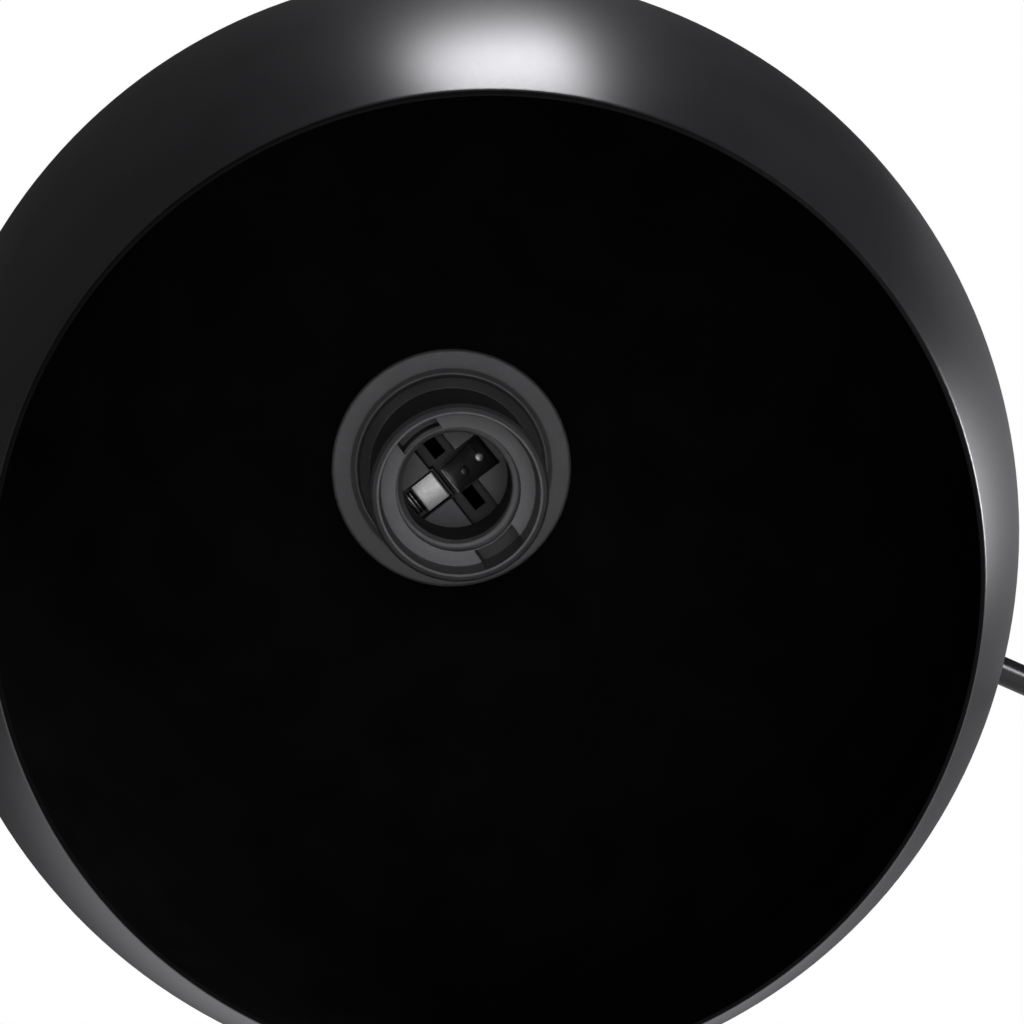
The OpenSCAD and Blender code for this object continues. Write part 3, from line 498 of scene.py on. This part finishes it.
collar = lathe(rounded([
    (POLE_BORE, COLLAR_LOW, 0.4), (CASTING_R, COLLAR_LOW, 1.2), (CASTING_R, COLLAR_HIGH, 0.6),
    (POLE_BORE, COLLAR_HIGH, 0.3)]))
boss = lathe(rounded([
    (CLAMP_BORE, CLAMP_BOSS_FROM, 0), (CLAMP_BOSS_R, CLAMP_BOSS_FROM, 0), (CLAMP_BOSS_R, CLAMP_BOSS_END, 0.9),
    (CLAMP_BORE, CLAMP_BOSS_END, 0.3)]), CLAMP_BOSS_TURNS)
join(collar, boss, Matrix.Translation((0, 0, CLAMP_Z)) @ Matrix.Rotation(math.pi / 2, 4, "Y"), 0)
piece("collar_casting", collar, STAND, ["clamp_collar"], [coat],
      cuts=[hole(GRUB_R, (0, 0, COLLAR_GRUB_Z), "Y", CUT_FROM, CUT_TO),
            hole(CLAMP_HOLE_R, (0, 0, CLAMP_Z), "X", CUT_FROM, CLAMP_BOSS_END + 2)])

INLET_Z = 9.7
INLET_BORE = 3.5
INLET_NECK_R = 5
INLET_FLANGE_R = 7
INLET_FROM = 126.6
INLET_FLANGE_FROM = 130.1
INLET_END = 132.45
INLET_TURNS = 64
INLET = placed(Vector((0, 0, 1)), Vector((1, 0, 0)), Vector((0, 1, 0)), Vector((0, 0, INLET_Z * MM)))
inlet_section = rounded([
    (INLET_BORE, INLET_FROM, 0.4), (INLET_NECK_R, INLET_FROM, 0.4), (INLET_NECK_R, INLET_FLANGE_FROM, 0.1),
    (INLET_FLANGE_R, INLET_FLANGE_FROM, 0.2), (INLET_FLANGE_R, INLET_END, 0.9), (INLET_BORE, INLET_END, 0.9)])
piece("inlet_grommet", lathe(inlet_section, INLET_TURNS), INLET, ["cord_inlet"], [nylon_black])

FLUTES = 8
GRIP_TURNS = 160
CLAMP_KNOB_X = 20.15
ELBOW_KNOB_Y = -11.15


def fluted(d):
    """How far the finger flutes cut into a round of this diameter, at an angle."""
    big, out, soft = 0.11 * d, 0.56 * d, 0.008 * d
    step = 2 * math.pi / FLUTES

    def depth(t):
        off = (t + step / 2) % step - step / 2
        room = big * big - (out * math.sin(off)) ** 2
        cut = d / 2 - (out * math.cos(off) - math.sqrt(max(room, 0.0))) if room > 0 else -soft
        return 0.5 * (cut + math.sqrt(cut * cut + soft * soft)) if cut > -soft else 0.0
    return depth


def grip(d, high, hub_d, foot):
    """Fluted knob with a dished face, from rows of (radius, height, share of the flutes)."""
    r, hub, back, edge, depth = d / 2, hub_d / 2, 2.5, 2, fluted(d)
    top = back + high
    rows = foot + [(hub - 0.3, 0, 0), (hub, 0.3, 0), (hub, back - 0.5, 0), (hub + 0.5, back, 0),
                   (r - 1.0, back, 1), (r - 0.3, back + 0.3, 1), (r, back + 1.0, 1), (r, top - edge, 1)]
    rows += [(r - edge + edge * math.cos(a), top - edge + edge * math.sin(a), 1)
             for a in [math.pi / 2 * k / 6 for k in range(1, 7)]]
    rows += [(r - 3.2, top - 0.1, 0.6), (r - 4.4, top - 0.6, 0.15), (r - 5.4, top - 0.9, 0),
             (r - 8, top - 1.0, 0), (0, top - 1.0, 0)]
    return ringed([ring(x, z, GRIP_TURNS, lambda t, w=w: w * depth(t)) for x, z, w in rows])


CLAMP = placed(Vector((0, 1, 0)), Vector((0, 0, 1)), Vector((1, 0, 0)),
               Vector((CLAMP_KNOB_X * MM, 0, CLAMP_Z * MM)))
shank = [(0, -8.7, 0), (2.5, -8.7, 0), (3, -8.2, 0), (3, 0, 0)]
piece("height_grip", grip(d=30, high=15, hub_d=14, foot=shank), CLAMP, ["height_knob"], [knob_mat], angle=40)
ELBOW = placed(Vector((1, 0, 0)), Vector((0, 0, -1)), Vector((0, -1, 0)),
               elbow_point + Vector((0, ELBOW_KNOB_Y * MM, 0)))
socket = [(0, 15, 0), (3.05, 15, 0), (3.05, 0.3, 0), (3.35, 0, 0)]
piece("elbow_grip", grip(d=34, high=16, hub_d=16, foot=socket), ELBOW, ["elbow_knob"], [knob_mat], angle=40)

# Head: cup, switch nut and button, whose foot clears its floor when it is pressed

CUP_R = 25
CUP_BORE = 23.8
CUP_Z = 32
CUP_FLOOR_Z = 33.2
CUP_HOLE_R = 5.1
CUP_TURNS = 144
SWITCH_Z = 46.0
SWITCH_CUT = (15, 35)
KNURLS = 44
KNURL_DEEP = 0.3
NUT_TURNS = 6 * KNURLS
BUTTON_R = 3.5
BUTTON_FOOT = 15.15
BUTTON_TOP = 33.5
BUTTON_TURNS = 64

cup_section = rounded([
    (CUP_HOLE_R, CUP_Z, 0.2), (CUP_R, CUP_Z, 6.0), (CUP_R, FLAT_Z, 0.35), (CUP_BORE, FLAT_Z, 0.35),
    (CUP_BORE, CUP_FLOOR_Z, 4.8), (CUP_HOLE_R, CUP_FLOOR_Z, 0.2)], steps=12)
piece("head_shell", lathe(cup_section, CUP_TURNS), HEAD, ["head_cup"], [coat],
      cuts=[hole(CUP_HOLE_R, (0, 0, SWITCH_Z), "Y", *SWITCH_CUT)])
SWITCH = HEAD @ Matrix.Translation((0, 0, SWITCH_Z)) @ Matrix.Rotation(-math.pi / 2, 4, "X")


def knurl(t):
    """How far the knurls cut in, at an angle."""
    return KNURL_DEEP * (0.5 + 0.5 * math.cos(KNURLS * t))


nut_rows = [(5.1, 25.05, 0), (5.1, 27.4, 0), (5.3, 27.6, 0), (6.9, 27.6, 0.2), (7.4, 27.3, 1), (7.5, 26.9, 1),
            (7.5, 25.4, 1), (7.1, 24.6, 0), (6.0, 24.6, 0)]
nut = ringed([ring(r, y, NUT_TURNS, lambda t, w=w: w * knurl(t)) for r, y, w in nut_rows])
piece("nut_knurled", nut, SWITCH, ["switch_nut"], [FINISH[slot_of["switch_nut"]]])
button_section = rounded([
    (0, BUTTON_FOOT, 0), (BUTTON_R, BUTTON_FOOT, 0.3), (BUTTON_R, BUTTON_TOP, 0.9), (2.3, BUTTON_TOP, 0.5),
    (1.2, BUTTON_TOP - 0.45, 0.6), (0, BUTTON_TOP - 0.55, 0)])
piece("button_dished", lathe(button_section, BUTTON_TURNS), SWITCH, ["switch_button"],
      [FINISH[slot_of["switch_button"]]])

# Shade

ARC = 48
SHADE_TURNS = 192
LIP_R = 1.6
LIP_STEPS = 10
LIP_GAP = 0.05
LIP_END = math.radians(5)
LIP_DARK = math.radians(40)


def shell(back_wall, front_wall):
    """Half section of the shade, from its flat back to its mouth, this far inside the outer face."""
    points = []
    for k in range(ARC):
        a = math.pi / 2 * k / ARC
        radius = BACK_H - back_wall
        points.append((SHADE_R - BACK_H + radius * math.sin(a), CENTRE_Z - radius * math.cos(a)))
    for k in range(ARC + 1):
        wall = back_wall + (front_wall - back_wall) * k / ARC
        high = FRONT_H * math.sin(math.pi / 2 * k / ARC)
        points.append((SHADE_R - FRONT_R - wall + math.sqrt(FRONT_R ** 2 - high ** 2), CENTRE_Z + high))
    return points


def rolled_lip(radius, last):
    """Edge that carries the outer face on, turning inward until its slope is last radians from flat."""
    first = math.pi / 2 - math.asin(FRONT_H / FRONT_R)
    rise = radius * (math.cos(last) - math.cos(first))
    low = FRONT_H - rise
    side = SHADE_R - FRONT_R + math.sqrt(FRONT_R ** 2 - low ** 2)
    turns = [first + (last - first) * k / LIP_STEPS for k in range(LIP_STEPS + 1)]
    return low, turns, [(side + radius * (math.sin(t) - math.sin(first)),
                         CENTRE_Z + low + radius * (math.cos(t) - math.cos(first))) for t in turns]


def build_shade():
    """Thin shell: coated outside, matt black inside, and darker on the edge of its lip as painted shade."""
    low, turns, lip = rolled_lip(LIP_R, LIP_END)
    outer = [(HOLE_R, FLAT_Z)] + [p for p in shell(0.0, 0.0) if p[1] < CENTRE_Z + low - LIP_GAP]
    inner = shell(SHADE_WALL, LIP_WALL)[::-1][1:] + [(HOLE_R, SEAT_Z)]
    # index 2 is the painted shade on the inward part of the lip
    marks = [0] * len(outer) + [0 if t > LIP_DARK else 2 for t in turns] + [1] * len(inner)
    piece("shade_shell", lathe(outer + lip + inner, SHADE_TURNS, marks), HEAD, ["shade"],
          [shade_coat, inside, lip_painted_shade], angle=50)


build_shade()

# Lampholder

ring_section = rounded([
    (HOLE_R, SEAT_Z, 0.2), (RING_R, SEAT_Z, 0.2), (RING_R, RING_Z, 0.8), (HUB_R + 1.9, RING_Z, 1.0),
    (HUB_R + 0.8, RING_Z - 0.7, 0.4), (HUB_R + 0.3, RING_Z - 0.6, 0.3), (HUB_R - 0.1, RING_Z + 1.3, 0.8),
    (SKIRT_FOOT_R + 0.2, RING_Z + 2.6, 0.3), (SKIRT_FOOT_R - 0.2, RING_Z + 2.4, 0.1),
    (SKIRT_FOOT_R - 0.2, RING_Z, 0)])
# painted shade: the ring's hub takes the darker copy of the grey plastic
hub_from = next(k for k, (r, z) in enumerate(ring_section) if r < HUB_R + 0.6 and z > SEAT_Z + 0.5)
ring_marks = [1 if k >= hub_from else 0 for k in range(len(ring_section))]
piece("shade_ring_moulded", lathe(ring_section, marks=ring_marks), HEAD, ["shade_ring"],
      [holder, holder_shaded_grey], angle=60)

skirt_section = rounded([
    (SLEEVE_BORE, FLOOR_Z, 0.1), (SLEEVE_R, FLOOR_Z, 0.1), (SLEEVE_R, FACE_Z - FACE_T, 0.2),
    (SKIRT_BORE, FACE_Z - FACE_T, 0.2), (SKIRT_BORE, SHOULDER_Z, 0.1), (SHOULDER_R, SHOULDER_Z, 0.2),
    (SHOULDER_R, FLAT_Z, 0.2), (SKIRT_FOOT_R, FLAT_Z, 0.3),
    (SKIRT_R, RIM_Z - BEVEL_H, 1.0), (RIM_R + 0.85, RIM_Z - 0.9, 0.8), (RIM_R, RIM_Z, 0.35),
    (RIM_BORE, RIM_Z, 0.2),
    (FACE_R, FACE_Z, 0.35), (MOUTH_EDGE_R, FACE_Z, 0.12), (MOUTH_EDGE_R, FACE_Z - MOUTH_EDGE_T, 0.1),
    (SLEEVE_BORE, FACE_Z - MOUTH_EDGE_T, 0.1)])

WINDOW_HALF = 5.1
WINDOW_IN = MOUTH_EDGE_R + 0.4
WINDOW_OUT = 18.7
WINDOW_TURN = -30.4
WINDOW_TOP = RIM_Z - 1.2
WINDOW_STEPS = 6
WINDOW_LIT = 2.0
WALL_MARGIN = 0.5
NEAR = 0.1


def window(side):
    """Curved slot through the face, on one side of the axis."""
    out_end, in_end = math.asin(WINDOW_HALF / WINDOW_OUT), math.asin(WINDOW_HALF / WINDOW_IN)
    shares = [k / WINDOW_STEPS - 1 for k in range(2 * WINDOW_STEPS + 1)]
    outer = [(WINDOW_OUT * math.cos(out_end * k), WINDOW_OUT * math.sin(out_end * k)) for k in shares]
    inner = [(WINDOW_IN * math.cos(in_end * k), -WINDOW_IN * math.sin(in_end * k)) for k in shares]
    bm = prism(outer + inner, FACE_Z - WINDOW_DEEP, WINDOW_TOP)
    turn = math.radians(WINDOW_TURN + 180 * side)
    bmesh.ops.rotate(bm, verts=bm.verts, matrix=Matrix.Rotation(turn, 3, "Z"))
    return bm


skirt = piece("holder_skirt", lathe(skirt_section), HEAD, ["lampholder_skirt"],
              [holder, holder_shaded_grey, nylon_black], cuts=[window(0), window(1)], edge=0.15, angle=50)
to_head = HEAD.inverted()
# painted shade: the skirt's outer wall takes the darker grey, and its windows are painted black from WINDOW_LIT
# down
for poly in skirt.data.polygons:
    at = to_head @ poly.center
    out = math.hypot(at.x, at.y)
    if out > SKIRT_FOOT_R - WALL_MARGIN and at.z < RIM_Z - BEVEL_H - WALL_MARGIN:
        poly.material_index = 1
    elif FACE_Z - WINDOW_DEEP - NEAR < at.z < FACE_Z - WINDOW_LIT and out > SLEEVE_BORE + NEAR / 2:
        poly.material_index = 2


def build_thread():
    """Liner with a rounded screw thread for the bulb's cap; its deeper turns are black."""
    steps, turns, edge = 120, 96, 0.2
    low, high, deep = FLOOR_Z + 0.05, BULB_TOP_Z, BULB_TOP_Z - 4.2

    def turned(z, grow=0.0):
        out = []
        for k in range(turns):
            t = 2 * math.pi * k / turns
            r = THREAD_R + grow - THREAD_DEPTH * math.cos(t - 2 * math.pi * (high - z) / THREAD_PITCH)
            out.append((r * math.cos(t), r * math.sin(t), z))
        return out

    rows = [high - edge - (high - edge - low) * k / steps for k in range(steps + 1)]
    rings = [ring(LINER_R, low, turns), ring(LINER_R, high - edge, turns), ring(LINER_R - edge, high, turns)]
    first = [(x, y, high) for x, y, z in turned(high - edge, edge)]
    rings += [first] + [turned(z) for z in rows]
    marks = [0] * 4 + [0 if z > deep else 1 for z in rows]
    piece("holder_thread", ringed(rings, marks), HEAD, ["lampholder_skirt"], [holder, holder_base], angle=50,
          stands_for=False)


build_thread()

POCKET_W = 8.4
POCKET_END = 10.2
POCKET_STEP = -2.85
ARM_W = 7.4
ARM_END = 13.6
TOP_R = 14.2
TOP_STEP = 2
TAB_POCKET = (-12.6, -3.35)
TAB_GAP = 0.25
PIT_X = (-1.3, 1.6)
PIT_Y = (5.0, 10.4)
PIT_Z = INSERT_Z - 9
INSERT_TURNS = 96

insert_section = rounded([
    (0, BOSS_Z, 0), (BOSS_R, BOSS_Z, 0.4), (BOSS_R, INSERT_Z, 0.2), (INSERT_R, INSERT_Z, 0.2),
    (INSERT_R, FLOOR_Z - TOP_STEP, 0.2), (TOP_R, FLOOR_Z - TOP_STEP, 0), (TOP_R, FLOOR_Z, 0.2),
    (0, FLOOR_Z, 0)])
above = FLOOR_Z + 2
half, arm = POCKET_W / 2, ARM_W / 2
cross = [(POCKET_END, -half), (POCKET_END, half), (arm, half), (arm, ARM_END), (-arm, ARM_END), (-arm, half),
         (POCKET_STEP, half), (POCKET_STEP, -half), (-arm, -half), (-arm, -ARM_END), (arm, -ARM_END),
         (arm, -half)]
cuts = [prism(cross, CHANNEL_Z, above), box(*TAB_POCKET, TAB_GAP - half, half - TAB_GAP, CHANNEL_Z, above),
        box(*PIT_X, PIT_Y[0], PIT_Y[1], PIT_Z, CHANNEL_Z + 1),
        box(*PIT_X, -PIT_Y[1], -PIT_Y[0], PIT_Z, CHANNEL_Z + 1)]
# painted shade: the insert's floor takes the darker copy of the grey plastic
insert = piece("holder_insert", lathe(insert_section, INSERT_TURNS), CONTACTS, ["lampholder_insert"],
               [holder_shaded_grey, holder_base, inside], cuts=cuts, edge=0.25, angle=50)
to_contacts = CONTACTS.inverted()
# painted shade: the insert's wall and pits are painted matt black; its channels are darker
for poly in insert.data.polygons:
    at = to_contacts @ poly.center
    in_pit = at.z < CHANNEL_Z - NEAR and abs(at.x) < 2 and PIT_Y[0] - NEAR < abs(at.y) < PIT_Y[1] + NEAR
    in_arms = at.z < FLOOR_Z - NEAR and max(abs(at.x), abs(at.y)) < ARM_END + NEAR
    if in_pit or math.hypot(at.x, at.y) > TOP_R - 2 * NEAR:
        poly.material_index = 2
    elif in_arms or at.z < CHANNEL_Z + 0.5:
        poly.material_index = 1


def strip(path, width, thick, corner=0.12):
    """Flat strip of metal along a path of (x, z) points, as wide across y as width(x) says."""
    loops = []
    for k, (x, z) in enumerate(path):
        a = Vector(path[max(k - 1, 0)])
        b = Vector(path[min(k + 1, len(path) - 1)])
        along = (b - a).normalized()
        out = Vector((-along.y, along.x)) * (thick / 2)
        half = width(x) / 2
        outline = [(-half + corner, -1), (half - corner, -1), (half, -0.55), (half, 0.55), (half - corner, 1),
                   (-half + corner, 1), (-half, 0.55), (-half, -0.55)]
        loops.append([(x + out.x * s, y, z + out.y * s) for y, s in outline])
    return sweep(loops)


def smooth_path(points, steps=8):
    """Smooth curve through (x, z) points."""
    out = []
    for k in range(len(points) - 1):
        p0, p1 = Vector(points[max(k - 1, 0)]), Vector(points[k])
        p2, p3 = Vector(points[k + 1]), Vector(points[min(k + 2, len(points) - 1)])
        for s in range(steps):
            t = s / steps
            v = 0.5 * ((2 * p1) + (p2 - p0) * t + (2 * p0 - 5 * p1 + 4 * p2 - p3) * t * t
                       + (3 * p1 - p0 - 3 * p2 + p3) * t ** 3)
            out.append((v.x, v.y))
    out.append(tuple(points[-1]))
    return out


LEAF_Z = CHANNEL_Z + 1.4
leaf_path = smooth_path([(9.9, LEAF_Z - 1.1), (9.7, LEAF_Z - 0.2), (9.2, LEAF_Z + 0.4), (8.3, LEAF_Z + 0.8),
                         (7.2, LEAF_Z + 1.3), (5.6, LEAF_Z + 1.9), (2.6, LEAF_Z + 3.3), (0.4, LEAF_Z + 4.3),
                         (-0.8, LEAF_Z + 4.75), (-1.25, LEAF_Z + 4.75), (-1.4, LEAF_Z + 4.55)])
LEAF_SHIFT = -0.4
LEAF_T = 0.5
LEAF_LEAN = 25
LEAF_TIP_W = 7.1
LEAF_TIP_X = 1.0
LEAF_FOOT_MORE = 1.2
LEAF_TAPER = 8.0


def leaf_width(x):
    """Width of the leaf, which grows from its tip to its foot."""
    return LEAF_TIP_W + LEAF_FOOT_MORE * min(max((x - LEAF_TIP_X) / LEAF_TAPER, 0.0), 1.0)


leaf_bm = strip(leaf_path, leaf_width, LEAF_T)
lean = Matrix.Rotation(math.radians(LEAF_LEAN), 4, "Y")
join(leaf_bm, dome(radius=1.0, high=0.45), Matrix.Translation((7.2, -0.14, LEAF_Z + 1.5)) @ lean, 1)
join(leaf_bm, dome(radius=1.15, high=0.4), Matrix.Translation((2.7, -0.35, LEAF_Z + 3.5)) @ lean, 0)
tip_path = [(-1.3, LEAF_Z + 4.95), (-1.5, LEAF_Z + 4.9), (-1.62, LEAF_Z + 4.6)]
tip = strip(tip_path, lambda x: 6.6, thick=0.16, corner=0.05)
join(leaf_bm, tip, Matrix.Identity(4), 1)
piece("contact_leaf", leaf_bm, CONTACTS @ Matrix.Translation((0, LEAF_SHIFT, 0)), ["centre_contact"],
      [dark_strip, nickel], angle=50)

TAB_Z = FLOOR_Z - 1.5
TAB_BEND = -10.0
TAB_T = 0.42
TAB_PLATE_W = 7.0
TAB_FOOT_W = 5.6
folds = smooth_path([
    (-2.2, BOSS_Z + 2), (-2.2, TAB_Z - 2.6), (-2.1, TAB_Z - 1.7), (-1.85, TAB_Z - 1.35), (-1.58, TAB_Z - 1.7),
    (-1.45, TAB_Z - 1.95), (-1.32, TAB_Z - 1.7), (-1.06, TAB_Z - 1.3), (-0.79, TAB_Z - 1.6),
    (-0.66, TAB_Z - 2.4), (-0.44, TAB_Z - 2.7), (-0.13, TAB_Z - 2.3)], steps=5)
plate = [(0, -1.2), (0.1, -0.4), (0.2, -0.1), (0.35, 0), (0.6, 0), (2, 0), (4, 0), (5.5, 0), (5.75, 0),
         (6.0, -0.1), (6.1, -0.4)]
tab_path = [(TAB_BEND + x, z) for x, z in folds] + [(TAB_BEND + x, TAB_Z + z) for x, z in plate]
tab_strip = strip(tab_path, lambda x: TAB_PLATE_W if x > TAB_BEND - 0.3 else TAB_FOOT_W, TAB_T)
tab = piece("contact_tab", tab_strip, CONTACTS, ["side_contact"], [nickel, nickel_painted_shade], angle=50)
# painted shade: the folds below the plate take the darker nickel
for poly in tab.data.polygons:
    poly.material_index = 1 if (to_contacts @ poly.center).x < TAB_BEND + 0.05 else 0

# Camera at the photograph's viewing angle

FOCAL_PX = 2600.0
FRAME_PX = 1024.0
SENSOR = 36.0
ARM_X_PX = 1009.0
ARM_Y_PX = 673.8
AIM_Z = 194.93
aim_seen = Vector((-7.815, 4.609, 518.765))
axis_seen = Vector((0.0653, 0.1494, -0.9866)).normalized()
tilt_seen = aim_seen - axis_seen * AIM_Z
ray = Vector(((ARM_X_PX - FRAME_PX / 2) / FOCAL_PX, (ARM_Y_PX - FRAME_PX / 2) / FOCAL_PX, 1.0))
arm_seen = (ray * (tilt_seen.dot(axis_seen) / ray.dot(axis_seen)) - tilt_seen).normalized()


def axes(one, two):
    """Turn whose first two axes are these."""
    return Matrix((one, two, one.cross(two))).transposed()


turn = axes(shade_dir, arm_dir) @ axes(axis_seen, arm_seen).transposed()
aim_at = HEAD @ Vector((0, 0, AIM_Z))
camera_data = bpy.data.cameras.new("camera")
camera_data.lens = FOCAL_PX / FRAME_PX * SENSOR
camera_data.sensor_width = SENSOR
camera = bpy.data.objects.new("camera", camera_data)
scene.collection.objects.link(camera)
view_axes = [turn @ Vector(v) for v in ((1, 0, 0), (0, -1, 0), (0, 0, -1))]
view = Matrix(view_axes).transposed().to_4x4()
view.translation = aim_at - turn @ (aim_seen * MM)
camera.matrix_world = view
scene.camera = camera

# Floor, lamps and surroundings

FLOOR_HALF = 6000
FLOOR_T = 20
floor = to_object("floor", box(-FLOOR_HALF, FLOOR_HALF, -FLOOR_HALF, FLOOR_HALF, -FLOOR_T, 0), STAND)
floor.data.materials.append(surface("pale_floor", (0.815, 0.815, 0.815), (0.83, 0.83, 0.83), (0.6, 0.7),
                                    (40.0, 0.001, 0.02), patch=2.0))

LAMP_COLOUR = (0.965, 0.955, 1.0)


def softbox(name, at, aim, size, radiance, roll):
    """Oblong soft lamp that faces a point and is turned by roll degrees; radiance 1 renders as white."""
    data = bpy.data.lights.new(name, "AREA")
    data.shape = "RECTANGLE"
    data.size, data.size_y = size
    data.energy = radiance * math.pi * size[0] * size[1]
    data.color = LAMP_COLOUR
    lamp = bpy.data.objects.new(name, data)
    scene.collection.objects.link(lamp)
    lamp.location = at
    facing = (Vector(aim) - Vector(at)).to_track_quat("-Z", "Y")
    lamp.rotation_euler = (facing @ Quaternion((0, 0, 1), math.radians(roll))).to_euler()
    lamp.visible_camera = False


# name, place, aim, size, radiance and roll of each lamp
LAMPS = (
    ("overhead", (-0.361, -0.24, 2.5), (-0.46, -0.25, 1.2), (0.30, 0.38), 13.0, 0.0),
    ("front", (-0.85, -1.75, 0.5), (-0.46, -0.15, 1.2), (1.2, 1.2), 2.8, 0.0),
    ("side", (0.90, 0.24, 1.72), (-0.40, -0.2, 1.18), (0.16, 0.5), 1.0, 45.0),
    ("edge", (1.03, -0.09, 1.60), (-0.40, -0.2, 1.18), (0.22, 0.44), 34.0, 45.0),
    ("key", (0.254, -1.515, 1.205), (-0.256, 0.0, 1.272), (0.5, 0.4), 32.0, 0.0),
    ("back", (0.88, 1.08, 2.03), (-0.46, -0.15, 1.2), (1.2, 1.2), 0.12, 0.0),
)
for lamp_row in LAMPS:
    softbox(*lamp_row)

# The camera sees white; glossy rays see white at the horizon, fading upward

GLOSS_LOW = -0.14
GLOSS_HIGH = 0.18
GLOSS_TOP = 0.03
FILL = 0.8
world = bpy.data.worlds.new("studio")
scene.world = world
world.use_nodes = True
tree = world.node_tree
tree.nodes.clear()
path = add(tree, "ShaderNodeLightPath")
coord = add(tree, "ShaderNodeTexCoord")
split = add(tree, "ShaderNodeSeparateXYZ")
tree.links.new(coord.outputs["Generated"], split.inputs["Vector"])
height = add(tree, "ShaderNodeMapRange", interpolation_type="SMOOTHSTEP", in_From_Min=GLOSS_LOW,
             in_From_Max=GLOSS_HIGH, in_To_Min=1.0, in_To_Max=GLOSS_TOP)
tree.links.new(split.outputs["Z"], height.inputs["Value"])
white = add(tree, "ShaderNodeBackground", in_Color=(1, 1, 1, 1), in_Strength=1.0)
sweep_back = add(tree, "ShaderNodeBackground", in_Color=(0.955, 0.94, 1.0, 1))
tree.links.new(height.outputs["Result"], sweep_back.inputs["Strength"])
fill = add(tree, "ShaderNodeBackground", in_Color=(1, 1, 1, 1), in_Strength=FILL)
glossy = add(tree, "ShaderNodeMixShader")
tree.links.new(path.outputs["Is Glossy Ray"], glossy.inputs["Fac"])
tree.links.new(fill.outputs["Background"], glossy.inputs[1])
tree.links.new(sweep_back.outputs["Background"], glossy.inputs[2])
seen = add(tree, "ShaderNodeMath", operation="MAXIMUM")
tree.links.new(path.outputs["Is Camera Ray"], seen.inputs[0])
tree.links.new(path.outputs["Is Transmission Ray"], seen.inputs[1])
shown = add(tree, "ShaderNodeMixShader")
tree.links.new(seen.outputs["Value"], shown.inputs["Fac"])
tree.links.new(glossy.outputs["Shader"], shown.inputs[1])
tree.links.new(white.outputs["Background"], shown.inputs[2])
out = add(tree, "ShaderNodeOutputWorld")
tree.links.new(shown.outputs["Shader"], out.inputs["Surface"])

scene.view_settings.view_transform = "Standard"
